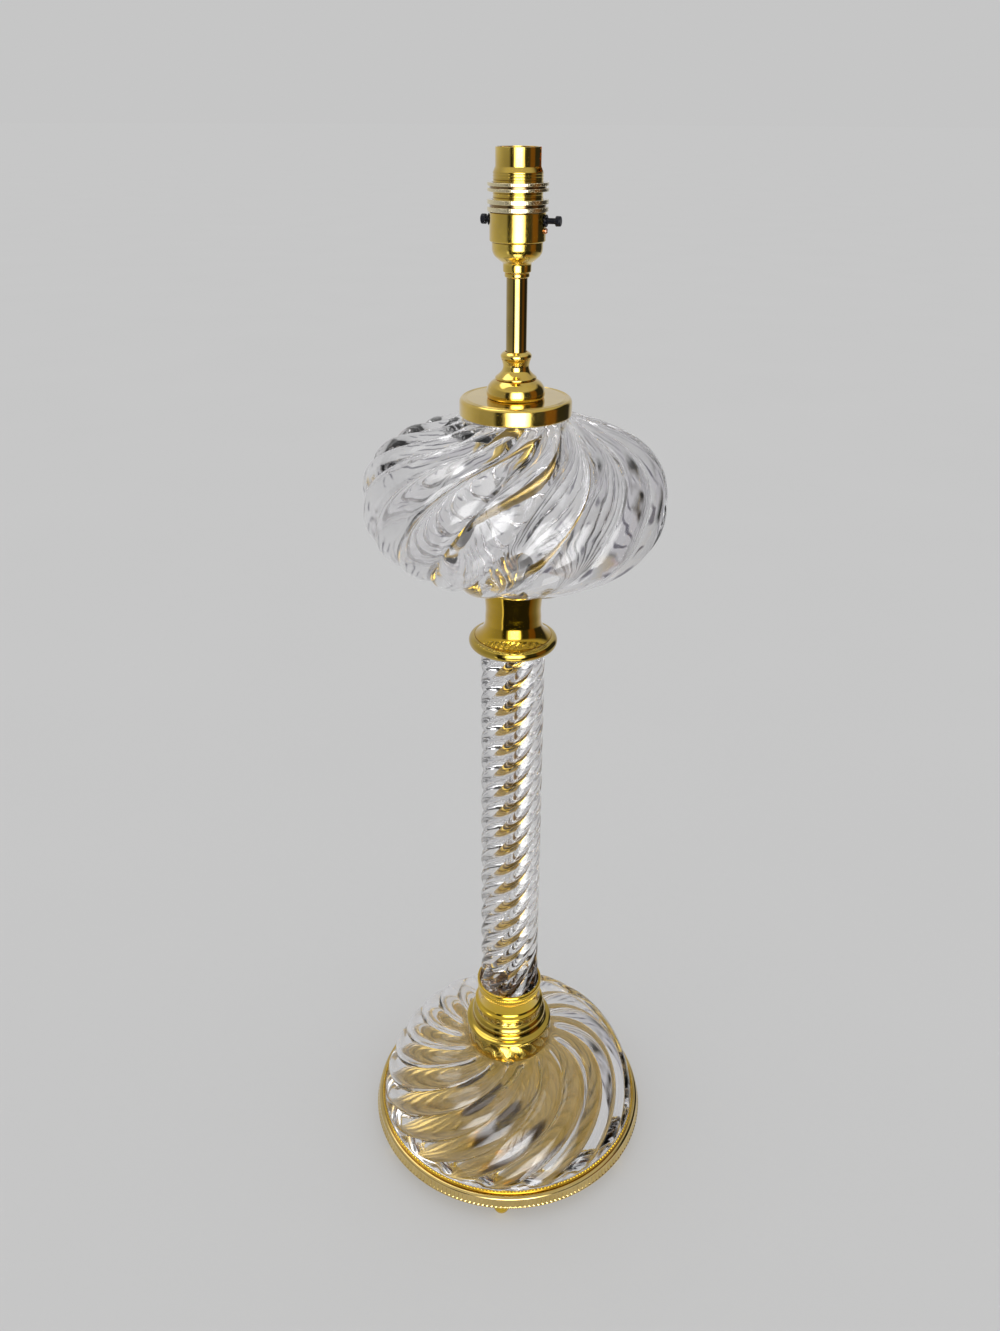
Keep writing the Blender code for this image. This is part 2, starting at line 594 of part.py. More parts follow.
def make_step(brass):
    """Bulged ring between the flange and the socket."""
    inner = STEP_TOP_RADIUS - STEP_WALL
    spread = STEP_RADIUS - STEP_TOP_RADIUS
    bulge = [(STEP_TOP_RADIUS + spread * share, STEP_HEIGHT * level)
             for share, level in ((0.6, 0.0), (0.95, 0.13), (1.0, 0.28), (0.85, 0.46), (-0.15, 0.62))]
    outline = bulge + [(STEP_TOP_RADIUS, STEP_HEIGHT - EDGE), (STEP_TOP_RADIUS - EDGE, STEP_HEIGHT),
                       (inner, STEP_HEIGHT), (inner, 0.0)]
    turned("collar_step", outline, MEDIUM, brass, STEP_Z)


def make_socket(brass):
    """Cup that holds the foot of the column, with a milled band near its lip."""
    foot_lip = SOCKET_RADIUS + SOCKET_FOOT_LIP
    foot_top = SOCKET_FOOT_LIP_HEIGHT
    top_lip = SOCKET_RADIUS + SOCKET_TOP_LIP
    band = SOCKET_RADIUS + MILLED_BAND_RISE
    band_top = SOCKET_HEIGHT - MILLED_BAND_FROM_TOP
    band_low = band_top - MILLED_BAND_HEIGHT
    outline = [(foot_lip - EDGE, 0.0), (foot_lip, foot_top / 2.0), (foot_lip - EDGE, foot_top),
               (SOCKET_RADIUS, foot_top + SOCKET_FOOT_LIP / 2.0), (SOCKET_RADIUS, band_low - EDGE),
               (band, band_low), (band, band_top), (top_lip, band_top + EDGE),
               (top_lip, SOCKET_HEIGHT - EDGE), (top_lip - EDGE, SOCKET_HEIGHT),
               (SOCKET_BORE, SOCKET_HEIGHT), (SOCKET_BORE, SOCKET_FLOOR),
               (ROD_HOLE, SOCKET_FLOOR), (ROD_HOLE, 0.0)]
    turned("column_socket", outline, MEDIUM, brass, SOCKET_Z)


def make_column(glass, rubber, stations=24, steps=4):
    """Glass column with a plain bore, between two washers. Its spiral lobes close up
    towards the top, where they follow each other at a smaller rise."""
    rings = []
    passed = COLUMN_LOBE_OFFSET
    for index in range(stations + 1):
        share = index / stations
        radius = COLUMN_FOOT_RADIUS + (COLUMN_TOP_RADIUS - COLUMN_FOOT_RADIUS) * share
        z = COLUMN_LENGTH * share
        if index:
            step = COLUMN_LENGTH / stations
            tighter = blend(z - step / 2.0, LOBE_RISE_TIGHTENS_FROM, LOBE_RISE_TIGHTENS_TO)
            passed += step / (LOBE_RISE_AT_FOOT + (LOBE_RISE_AT_TOP - LOBE_RISE_AT_FOOT) * tighter)
        turn = 2.0 * pi * passed / COLUMN_LOBES
        rings.append(lobed_circle(radius, z, COLUMN_LOBES, steps, COLUMN_LOBE_DEPTH, turn))
    count = COLUMN_LOBES * steps
    rings.append(circle(COLUMN_BORE_RADIUS, COLUMN_LENGTH, count, turn))
    rings.append(circle(COLUMN_BORE_RADIUS, 0.0, count, turn))
    ring_skin("column_glass", rings, glass, COLUMN_Z)
    outer = COLUMN_TOP_RADIUS - COLUMN_WASHER_INSET
    thickness = COLUMN_WASHER_THICKNESS
    washer("column_lower_washer", outer, SLEEVE_HOLE, thickness, COLUMN_LOWER_WASHER_Z, rubber)
    washer("column_upper_washer", outer, SLEEVE_HOLE, thickness, COLUMN_UPPER_WASHER_Z, rubber)


def make_column_cap(brass):
    """Cap with a rounded bead, whose skirt holds the top of the column."""
    bead = [(CAP_SKIRT_BORE + CAP_BEAD_WIDTH * share, CAP_HEIGHT * level)
            for share, level in ((0.5, 0.0), (0.88, 0.22), (1.0, 0.5), (0.87, 0.8), (0.54, 1.0))]
    outline = bead + [(ROD_HOLE, CAP_HEIGHT), (ROD_HOLE, CAP_SKIRT_DEPTH),
                      (CAP_SKIRT_BORE, CAP_SKIRT_DEPTH), (CAP_SKIRT_BORE, 0.0)]
    turned("column_cap", outline, MEDIUM, brass, CAP_Z)


def make_bell(brass):
    """Hollow bell between the column cap and the reservoir."""
    outside = [(BELL_TOP_RADIUS + BELL_FLARE * (1.0 - share) ** BELL_FLARE_CURVE, BELL_FLARE_HEIGHT * share)
               for share in (0.0, 0.06, 0.16, 0.33, 0.6, 1.0)]
    inside = BELL_TOP_RADIUS - BELL_WALL
    ceiling = BELL_HEIGHT - BELL_PLATE
    outline = outside + [(BELL_TOP_RADIUS, BELL_HEIGHT - EDGE), (BELL_TOP_RADIUS - EDGE, BELL_HEIGHT),
                         (ROD_HOLE, BELL_HEIGHT), (ROD_HOLE, ceiling), (inside, ceiling), (inside, 0.0)]
    turned("reservoir_bell", outline, MEDIUM, brass, BELL_Z)


def reservoir_lower(radius):
    """Height of the reservoir's lower half above its foot, at a radius."""
    share = min(radius / RESERVOIR_RADIUS, 1.0)
    fullness = RESERVOIR_LOWER_FULLNESS
    foot = (1.0 - (RESERVOIR_FOOT_RADIUS / RESERVOIR_RADIUS) ** fullness) ** (1.0 / fullness)
    drop = (1.0 - share ** fullness) ** (1.0 / fullness) / foot
    return RESERVOIR_LOWER_HEIGHT - RESERVOIR_LOWER_HEIGHT * drop


def make_reservoir(glass, rubber, stations=6, steps=4):
    """Oblate hollow glass, lobes swirling down its outside, open at both necks."""
    path = []
    for index in range(stations):
        share = sin(0.5 * pi * index / stations)
        radius = RESERVOIR_NECK_RADIUS + (RESERVOIR_RADIUS - RESERVOIR_NECK_RADIUS) * share
        path.append((radius, reservoir_upper(radius)))
    for index in range(stations, -1, -1):
        share = sin(0.5 * pi * index / stations)
        radius = RESERVOIR_FOOT_RADIUS + (RESERVOIR_RADIUS - RESERVOIR_FOOT_RADIUS) * share
        path.append((radius, reservoir_lower(radius)))
    count = RESERVOIR_LOBES * steps
    neck_top = RESERVOIR_SHOULDER + RESERVOIR_NECK_HEIGHT
    rings = [circle(RESERVOIR_NECK_RADIUS, neck_top, count)]
    turn = 0.0
    last = path[0]
    for radius, z in path:
        turn -= RESERVOIR_LOBE_SLANT * hypot(radius - last[0], z - last[1]) / (0.5 * (radius + last[0]))
        tilt = atan2(radius - last[0], last[1] - z)
        if z > RESERVOIR_LOWER_HEIGHT:
            fade = blend(radius, RESERVOIR_NECK_RADIUS, RESERVOIR_NECK_RADIUS + RESERVOIR_LOBE_FADE)
            full = RESERVOIR_LOBE_DEPTH
        else:
            fade = blend(radius, RESERVOIR_FOOT_RADIUS, RESERVOIR_FOOT_RADIUS + RESERVOIR_LOBE_FADE)
            under = 1.0 - z / RESERVOIR_LOWER_HEIGHT
            full = RESERVOIR_LOBE_DEPTH + (RESERVOIR_LOBE_DEPTH_AT_FOOT - RESERVOIR_LOBE_DEPTH) * under
        depth = full * fade
        rings.append(lobed_circle(radius, z, RESERVOIR_LOBES, steps, depth, turn, tilt))
        last = (radius, z)
    inner_neck = RESERVOIR_NECK_RADIUS - RESERVOIR_WALL
    rings.append(circle(COLUMN_BORE_RADIUS, 0.0, count, turn))
    rings.append(circle(COLUMN_BORE_RADIUS, RESERVOIR_WALL, count, turn))
    inside = RESERVOIR_WALL + RESERVOIR_LOBE_DEPTH
    for share in (0.55, 0.9):
        radius = (RESERVOIR_RADIUS - inside) * share
        rings.append(circle(radius, max(reservoir_lower(radius), 0.0) + RESERVOIR_WALL, count, turn))
    rings.append(circle(RESERVOIR_RADIUS - inside, RESERVOIR_LOWER_HEIGHT, count, turn))
    for share in (0.92, 0.68):
        radius = (RESERVOIR_RADIUS - inside) * share
        rings.append(circle(radius, reservoir_upper(radius) - inside, count, turn))
    rings.append(circle(inner_neck, RESERVOIR_SHOULDER - RESERVOIR_WALL, count, 0.0))
    rings.append(circle(inner_neck, neck_top, count, 0.0))
    ring_skin("reservoir_glass", rings, glass, RESERVOIR_Z)
    thickness = RESERVOIR_WASHER_THICKNESS
    inset = RESERVOIR_WASHER_INSET
    washer("reservoir_lower_washer", BELL_TOP_RADIUS - inset, SLEEVE_HOLE, thickness,
           RESERVOIR_LOWER_WASHER_Z, rubber)
    washer("reservoir_upper_washer", RESERVOIR_NECK_RADIUS, inner_neck + inset, thickness,
           RESERVOIR_UPPER_WASHER_Z, rubber)


def make_reservoir_cap(brass):
    """Cup-shaped cap over the neck of the reservoir."""
    bore = RESERVOIR_NECK_RADIUS + SEAT_FIT
    outer = bore + RESERVOIR_CAP_WALL
    height = RESERVOIR_CAP_HEIGHT
    under = height - RESERVOIR_CAP_PLATE
    rounding = RESERVOIR_CAP_ROUNDING
    shoulder = 0.3 * rounding
    outline = [(outer - EDGE, 0.0), (outer, EDGE), (outer, height - rounding),
               (outer - shoulder, height - shoulder), (outer - rounding, height),
               (ROD_HOLE, height), (ROD_HOLE, under), (bore, under), (bore, 0.0)]
    turned("reservoir_cap", outline, LARGE, brass, RESERVOIR_CAP_Z)


def make_dome_and_neck(brass):
    """Hollow dome over the top nut, the ogee neck on it and the collar on that."""
    inner = DOME_RADIUS - DOME_WALL
    under = DOME_HEIGHT - DOME_WALL
    side = [(DOME_RADIUS - DOME_ROUNDING * share, DOME_HEIGHT * level)
            for share, level in ((0.14, 0.0), (0.0, 0.25), (0.24, 0.65), (0.56, 0.83), (1.0, 1.0))]
    outline = side + [(ROD_HOLE, DOME_HEIGHT), (ROD_HOLE, under), (inner - DOME_WALL, under),
                      (inner - EDGE, 0.0)]
    turned("reservoir_dome", outline, MEDIUM, brass, DOME_Z)
    waist = STEM_HOLE + NECK_WAIST_WALL
    ogee = [(waist + NECK_FOOT_WIDTH * share, NECK_HEIGHT * level) for share, level in
            ((1.0, 0.0), (0.98, 0.07), (0.6, 0.2), (0.34, 0.31), (0.14, 0.41), (0.0, 0.6), (0.2, 1.0))]
    outline = ogee + [(STEM_HOLE, NECK_HEIGHT), (STEM_HOLE, 0.0)]
    turned("reservoir_neck", outline, SMALL, brass, NECK_Z)
    side = [(STEM_HOLE + STEM_COLLAR_WIDTH * share, STEM_COLLAR_HEIGHT * level)
            for share, level in ((0.87, 0.0), (1.0, 0.3), (0.9, 0.6), (0.3, 1.0))]
    outline = side + [(STEM_HOLE, STEM_COLLAR_HEIGHT), (STEM_HOLE, 0.0)]
    turned("stem_collar", outline, SMALL, brass, STEM_COLLAR_Z)


def make_stem(brass, steel):
    """Plain brass tube that stands on the dome, with a threaded nipple in its top."""
    tube("stem_tube", STEM_RADIUS, ROD_HOLE, NECK_Z, STEM_TOP_Z, brass)
    tube("holder_nipple", ROD_RADIUS, ROD_BORE_RADIUS, NIPPLE_Z, NIPPLE_Z + NIPPLE_LENGTH, steel)
    height = NIPPLE_NUT_HEIGHT
    outer = ROD_HOLE + NIPPLE_NUT_WIDTH
    outline = [(outer - EDGE, 0.0), (outer, EDGE), (outer, height - EDGE), (outer - EDGE, height),
               (ROD_HOLE, height), (ROD_HOLE, 0.0)]
    turned("nipple_nut", outline, SMALL, brass, NIPPLE_NUT_Z)


def make_holder_cap(brass, steel):
    """Lower shell of the lampholder, with the grub screw that locks it."""
    neck = HOLDER_CAP_NECK_RADIUS
    neck_top = HOLDER_CAP_NECK_HEIGHT
    height = HOLDER_CAP_HEIGHT
    rise = height - neck_top
    shoulder = neck + HOLDER_CAP_SHOULDER
    spread = HOLDER_CAP_RADIUS - shoulder
    bowl = [(shoulder + spread * share, neck_top + rise * level)
            for share, level in ((0.0, 0.05), (0.59, 0.27), (0.93, 0.52), (1.0, 0.72), (1.0, 1.0))]
    inner = HOLDER_CAP_RADIUS - HOLDER_WALL
    hollow = [(inner, height), (inner, neck_top + rise * 0.6), (shoulder, neck_top + rise * 0.4)]
    outline = [(neck, 0.0), (neck, neck_top)] + bowl + hollow + [(ROD_HOLE, neck_top), (ROD_HOLE, 0.0)]
    cap = turned("holder_cap", outline, MEDIUM, brass, HOLDER_CAP_Z)
    screw_place = (0.0, 0.0, HOLDER_CAP_Z + neck_top / 2.0)
    hole = cylinder_cutter("grub_screw_hole", GRUB_SCREW_RADIUS + FIT, ROD_RADIUS, neck + OVERCUT,
                           screw_place, steel, "Y")
    cut(cap, hole)
    outline = [(0.0, ROD_HOLE), (GRUB_SCREW_RADIUS, ROD_HOLE), (GRUB_SCREW_RADIUS, neck - FIT),
               (0.0, neck - FIT)]
    screw = turned("cap_grub_screw", outline, TINY, steel, place=screw_place)
    screw.rotation_euler = (radians(-90.0), 0.0, 0.0)


def make_holder_body(brass, copper):
    """Shell round the switch, with a hole for each bush and for the earth screw."""
    outline = [(BODY_RADIUS - EDGE, 0.0), (BODY_RADIUS, EDGE), (BODY_RADIUS, BODY_HEIGHT - EDGE),
               (BODY_RADIUS - EDGE, BODY_HEIGHT), (BODY_BORE, BODY_HEIGHT), (BODY_BORE, 0.0)]
    body = turned("holder_body", outline, MEDIUM, brass, HOLDER_BODY_Z)
    reach = BODY_RADIUS + OVERCUT
    bar_hole = cylinder_cutter("bar_hole", SWITCH_BUSH_BARREL_RADIUS + FIT, -reach, reach,
                               (0.0, 0.0, BAR_Z), brass, "X")
    screw_place = (0.0, 0.0, BAR_Z - EARTH_SCREW_BELOW_BAR)
    screw_hole = cylinder_cutter("earth_screw_hole", EARTH_SCREW_SHANK_RADIUS + FIT, BODY_BORE - OVERCUT,
                                 reach, screw_place, brass, "X")
    cut(body, bar_hole)
    cut(body, screw_hole)
    head = BODY_RADIUS + FIT
    end = head + EARTH_SCREW_HEAD_LENGTH
    outline = [(0.0, BODY_BORE), (EARTH_SCREW_SHANK_RADIUS, BODY_BORE), (EARTH_SCREW_SHANK_RADIUS, head),
               (EARTH_SCREW_HEAD_RADIUS, head), (EARTH_SCREW_HEAD_RADIUS, end - EDGE),
               (EARTH_SCREW_HEAD_RADIUS - EDGE, end), (0.0, end)]
    screw = turned("earth_screw", outline, TINY, copper, place=screw_place)
    screw.rotation_euler = (0.0, radians(90.0), 0.0)


def make_switch_block(black, brass):
    """Moulded block with the bar's channel across its top and two terminal screws."""
    height = BLOCK_TOP_Z - BLOCK_Z
    outline = [(0.0, 0.0), (BLOCK_RADIUS - EDGE, 0.0), (BLOCK_RADIUS, EDGE),
               (BLOCK_RADIUS, height), (0.0, height)]
    block = turned("switch_block", outline, MEDIUM, black, BLOCK_Z)
    reach = BODY_RADIUS + OVERCUT
    channel = box("bar_channel", (-reach, -BAR_CHANNEL, BAR_Z - BAR_CHANNEL),
                  (reach, BAR_CHANNEL, BLOCK_TOP_Z + OVERCUT), black)
    cut(block, cutter(channel))
    length = BLADE_X + BLADE_THICKNESS + FIT
    width = BLADE_Y + BLADE_WIDTH + FIT
    floor = BAR_Z - DISC_RADIUS - SEAT_FIT
    pocket = box("disc_pocket", (-length, -width, floor), (length, width, BLOCK_TOP_Z + OVERCUT), black)
    cut(block, cutter(pocket))
    for index, side in enumerate((-1.0, 1.0)):
        near, far = sorted((side * BLADE_Y, side * (BLADE_Y + BLADE_WIDTH)))
        low = (BLADE_X, near, BAR_Z - BLADE_BELOW_BAR)
        high = (BLADE_X + BLADE_THICKNESS, far, BAR_Z + BLADE_ABOVE_BAR)
        box(f"switch_blade_{index + 1}", low, high, brass)
        slot = box(f"blade_slot_{index + 1}", [value - FIT for value in low],
                   (high[0] + FIT, high[1] + FIT, floor + OVERCUT), black)
        cut(block, cutter(slot))
    head = -FIT - TERMINAL_HEAD_LENGTH
    outline = [(0.0, head), (TERMINAL_HEAD_RADIUS, head), (TERMINAL_HEAD_RADIUS, -FIT),
               (TERMINAL_SHANK_RADIUS, -FIT), (TERMINAL_SHANK_RADIUS, TERMINAL_SHANK_LENGTH),
               (0.0, TERMINAL_SHANK_LENGTH)]
    for index, side in enumerate((-1.0, 1.0)):
        place = (0.0, side * TERMINAL_OFFSET, BLOCK_Z)
        hole = cylinder_cutter(f"terminal_hole_{index + 1}", TERMINAL_SHANK_RADIUS + FIT, -OVERCUT,
                               TERMINAL_SHANK_LENGTH + FIT, place, black)
        cut(block, hole)
        turned(f"terminal_screw_{index + 1}", outline, TINY, brass, place=place)


def make_push_bar(black, brass):
    """Push bar with a knob on each end, running in two bushes, and its contact disc."""
    flange = BODY_RADIUS + FIT
    outline = [(SWITCH_BUSH_BARREL_RADIUS, BODY_BORE - SWITCH_BUSH_IN_BODY),
               (SWITCH_BUSH_BARREL_RADIUS, flange), (SWITCH_BUSH_RADIUS, flange),
               (SWITCH_BUSH_RADIUS, SWITCH_BUSH_FACE), (BAR_CHANNEL, SWITCH_BUSH_FACE),
               (BAR_CHANNEL, BODY_BORE - SWITCH_BUSH_IN_BODY)]
    for name, turn in (("switch_bush_right", 90.0), ("switch_bush_left", -90.0)):
        bush = turned(name, outline, TINY, black, place=(0.0, 0.0, BAR_Z))
        bush.rotation_euler = (0.0, radians(turn), 0.0)
    left = -BAR_LEFT_STOP - KNOB_LENGTH
    right = BAR_RIGHT_STOP + KNOB_LENGTH
    groove = DISC_THICKNESS / 2.0 + FIT
    outline = [(0.0, left), (KNOB_RADIUS - EDGE, left), (KNOB_RADIUS, left + EDGE),
               (KNOB_RADIUS, -BAR_LEFT_STOP), (BAR_RADIUS, -BAR_LEFT_STOP), (BAR_RADIUS, DISC_X - groove),
               (BAR_NECK, DISC_X - groove), (BAR_NECK, DISC_X + groove), (BAR_RADIUS, DISC_X + groove),
               (BAR_RADIUS, BAR_RIGHT_STOP), (KNOB_RADIUS, BAR_RIGHT_STOP), (KNOB_RADIUS, right - EDGE),
               (KNOB_RADIUS - EDGE, right), (0.0, right)]
    bar = turned("switch_push_bar", outline, TINY, black, place=(0.0, 0.0, BAR_Z))
    bar.rotation_euler = (0.0, radians(90.0), 0.0)
    disc = washer("switch_disc", DISC_RADIUS, BAR_NECK + FIT, DISC_THICKNESS, 0.0, brass, TINY)
    disc.location = ((DISC_X - DISC_THICKNESS / 2.0) * MM, 0.0, BAR_Z * MM)
    disc.rotation_euler = (0.0, radians(90.0), 0.0)


def make_contacts(white, brass, steel):
    """Insulator that holds two sprung contacts for the bulb's cap."""
    radius = SKIRT_BORE_RADIUS - SEAT_FIT
    outline = [(0.0, 0.0), (radius, 0.0), (radius, INSULATOR_HEIGHT - EDGE),
               (radius - EDGE, INSULATOR_HEIGHT), (0.0, INSULATOR_HEIGHT)]
    insulator = turned("contact_insulator", outline, MEDIUM, white, SKIRT_Z)
    bore_depth = INSULATOR_HEIGHT - CONTACT_BORE_FLOOR
    for index, side in enumerate((-1.0, 1.0)):
        place = (0.0, side * CONTACT_OFFSET, INSULATOR_TOP_Z)
        hole = cylinder_cutter(f"contact_hole_{index + 1}", CONTACT_BORE_RADIUS, -bore_depth, OVERCUT,
                               place, white)
        cut(insulator, hole)
        length = CONTACT_HEAD_LENGTH
        outline = [(0.0, -CONTACT_STEM_LENGTH), (CONTACT_STEM_RADIUS, -CONTACT_STEM_LENGTH),
                   (CONTACT_STEM_RADIUS, 0.0), (CONTACT_RADIUS, 0.0), (CONTACT_RADIUS, length - CONTACT_TIP),
                   (CONTACT_RADIUS - CONTACT_TIP, length), (0.0, length)]
        place = (0.0, side * CONTACT_OFFSET, CONTACT_HEAD_Z)
        turned(f"contact_plunger_{index + 1}", outline, TINY, brass, place=place)
        make_spring(f"contact_spring_{index + 1}", side * CONTACT_OFFSET, steel)


def make_spring(name, offset, steel):
    """Coil spring under a plunger, as one unbroken round wire."""
    coil = 0.5 * (CONTACT_STEM_RADIUS + CONTACT_BORE_RADIUS)
    low = CONTACT_BORE_Z + FIT + SPRING_WIRE_RADIUS
    high = CONTACT_HEAD_Z - FIT - SPRING_WIRE_RADIUS
    steps = SPRING_TURNS * 8
    curve = bpy.data.curves.new(name, "CURVE")
    curve.dimensions = "3D"
    curve.bevel_depth = SPRING_WIRE_RADIUS * MM
    curve.bevel_resolution = 0
    curve.use_fill_caps = True
    spline = curve.splines.new("POLY")
    spline.points.add(steps)
    for index in range(steps + 1):
        share = index / steps
        angle = 2.0 * pi * SPRING_TURNS * share
        rise = (high - low) * share
        spline.points[index].co = (coil * cos(angle) * MM, coil * sin(angle) * MM, rise * MM, 1.0)
    curve.materials.append(steel)
    thing = bpy.data.objects.new(name, curve)
    thing.location = (0.0, offset * MM, low * MM)
    bpy.context.scene.collection.objects.link(thing)


def make_skirt(brass):
    """Sleeve that takes the bulb: a plain tip, a threaded part and two bayonet slots."""
    height = SKIRT_IN_BODY + SKIRT_ABOVE_BODY
    tip = height - SKIRT_TIP_LENGTH
    outline = [(SKIRT_RADIUS, 0.0), (SKIRT_RADIUS, tip - SKIRT_TAPER_LENGTH), (SKIRT_TIP_RADIUS, tip),
               (SKIRT_TIP_RADIUS, height), (SKIRT_BORE_RADIUS, height), (SKIRT_BORE_RADIUS, 0.0)]
    skirt = turned("holder_skirt", outline, MEDIUM, brass, SKIRT_Z)
    half = SLOT_WIDTH / 2.0
    bottom = SKIRT_TOP_Z - SLOT_DEPTH
    for index, side in enumerate((-1.0, 1.0)):
        low_x, high_x = sorted((side * (SKIRT_BORE_RADIUS - OVERCUT), side * (SKIRT_RADIUS + OVERCUT)))
        low_y, high_y = sorted((side * half, -side * (half + SLOT_HOOK)))
        leg = box(f"slot_leg_{index + 1}", (low_x, -half, bottom + half),
                  (high_x, half, SKIRT_TOP_Z + OVERCUT), brass)
        hook = box(f"slot_hook_{index + 1}", (low_x, low_y, bottom),
                   (high_x, high_y, bottom + SLOT_WIDTH), brass)
        cut(skirt, cutter(leg))
        cut(skirt, cutter(hook))


def make_shade_rings(brass):
    """Two grooved rings that screw along the sleeve and grip a shade's carrier."""
    for name, height, level in (("shade_ring_lower", LOWER_RING_HEIGHT, LOWER_RING_Z),
                                ("shade_ring_upper", UPPER_RING_HEIGHT, UPPER_RING_Z)):
        groove = height * RING_GROOVE_SHARE
        low = (height - groove) / 2.0
        waist = RING_RADIUS - RING_GROOVE_DEPTH
        outline = [(RING_RADIUS, 0.0), (RING_RADIUS, low), (waist, low), (waist, low + groove),
                   (RING_RADIUS, low + groove), (RING_RADIUS, height), (RING_BORE, height), (RING_BORE, 0.0)]
        turned(name, outline, MEDIUM, brass, level)


clear_scene()
lacquered_brass = make_material("lacquered_brass", (0.83, 0.62, 0.20), 0.12, 1.0)
plain_steel = make_material("plated_steel", (0.62, 0.62, 0.60), 0.30, 1.0)
clear_glass = make_material("clear_glass", (0.97, 0.97, 0.96), 0.02, 0.0, 1.0)
black_plastic = make_material("black_plastic", (0.015, 0.015, 0.018), 0.35, 0.0)
white_plastic = make_material("white_plastic", (0.80, 0.79, 0.74), 0.40, 0.0)
clear_rubber = make_material("clear_rubber", (0.55, 0.54, 0.50), 0.60, 0.0)
copper_plate = make_material("copper_plate", (0.80, 0.42, 0.26), 0.30, 1.0)

make_feet(lacquered_brass)
make_base_plate(lacquered_brass)
make_rod_and_nuts(plain_steel, lacquered_brass, black_plastic)
make_base_glass(clear_glass)
make_glass_ring(lacquered_brass)
make_flange(lacquered_brass)
make_step(lacquered_brass)
make_socket(lacquered_brass)
make_column(clear_glass, clear_rubber)
make_column_cap(lacquered_brass)
make_bell(lacquered_brass)
make_reservoir(clear_glass, clear_rubber)
make_reservoir_cap(lacquered_brass)
make_dome_and_neck(lacquered_brass)
make_stem(lacquered_brass, plain_steel)
make_holder_cap(lacquered_brass, plain_steel)
make_holder_body(lacquered_brass, copper_plate)
make_switch_block(black_plastic, lacquered_brass)
make_push_bar(black_plastic, lacquered_brass)
make_contacts(white_plastic, lacquered_brass, plain_steel)
make_skirt(lacquered_brass)
make_shade_rings(lacquered_brass)
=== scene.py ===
"""Crystal column table lamp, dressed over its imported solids.

The file follows the lamp as it is put together, from the feet up. Lengths inside a
section are millimetres, and become metres where a mesh is made.
"""
import bpy
import math
import numpy as np
from mathutils import Matrix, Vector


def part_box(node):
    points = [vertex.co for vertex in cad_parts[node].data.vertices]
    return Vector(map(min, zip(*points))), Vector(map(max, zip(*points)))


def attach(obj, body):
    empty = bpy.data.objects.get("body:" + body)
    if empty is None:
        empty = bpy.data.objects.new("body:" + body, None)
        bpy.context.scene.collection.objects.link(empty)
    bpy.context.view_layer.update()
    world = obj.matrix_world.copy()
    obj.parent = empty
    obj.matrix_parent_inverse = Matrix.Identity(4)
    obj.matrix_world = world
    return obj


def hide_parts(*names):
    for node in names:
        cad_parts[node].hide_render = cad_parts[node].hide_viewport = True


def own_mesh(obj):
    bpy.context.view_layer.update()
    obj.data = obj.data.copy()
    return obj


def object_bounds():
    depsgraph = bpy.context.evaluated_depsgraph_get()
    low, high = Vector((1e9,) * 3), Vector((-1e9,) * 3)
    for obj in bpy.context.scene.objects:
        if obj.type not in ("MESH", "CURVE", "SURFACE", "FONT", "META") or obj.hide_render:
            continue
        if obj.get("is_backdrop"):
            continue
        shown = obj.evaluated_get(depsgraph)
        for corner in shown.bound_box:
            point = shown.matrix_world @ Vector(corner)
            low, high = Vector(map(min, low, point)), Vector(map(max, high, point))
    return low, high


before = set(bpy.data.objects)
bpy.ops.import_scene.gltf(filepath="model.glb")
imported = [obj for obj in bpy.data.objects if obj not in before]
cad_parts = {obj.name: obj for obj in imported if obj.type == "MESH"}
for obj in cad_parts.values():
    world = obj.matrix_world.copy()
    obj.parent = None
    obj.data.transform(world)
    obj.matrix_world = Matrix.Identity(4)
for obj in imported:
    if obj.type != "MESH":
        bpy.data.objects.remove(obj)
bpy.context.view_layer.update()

# Six bun feet, turned from solid brass, polished and lacquered. Each has a stud that
# screws up into the cast plate, and stands on a small flat under its swell.
MM = 0.001
ROUND = 2.0 * np.pi


def spline(points, count):
    """Evenly stepped run through a few points, each span a cubic whose slope at a
    point is half the way between that point's two neighbours."""
    given = np.asarray(points, float)
    padded = np.vstack([2.0 * given[0] - given[1], given, 2.0 * given[-1] - given[-2]])
    place = np.linspace(0.0, len(given) - 1.0, count)
    span = np.minimum(place.astype(int), len(given) - 2)
    part = (place - span)[:, None]
    before, start, end, after = (padded[span + step] for step in range(4))
    return 0.5 * (2.0 * start + (end - before) * part
                  + (2.0 * before - 5.0 * start + 4.0 * end - after) * part ** 2
                  + (3.0 * start - before - 3.0 * end + after) * part ** 3)


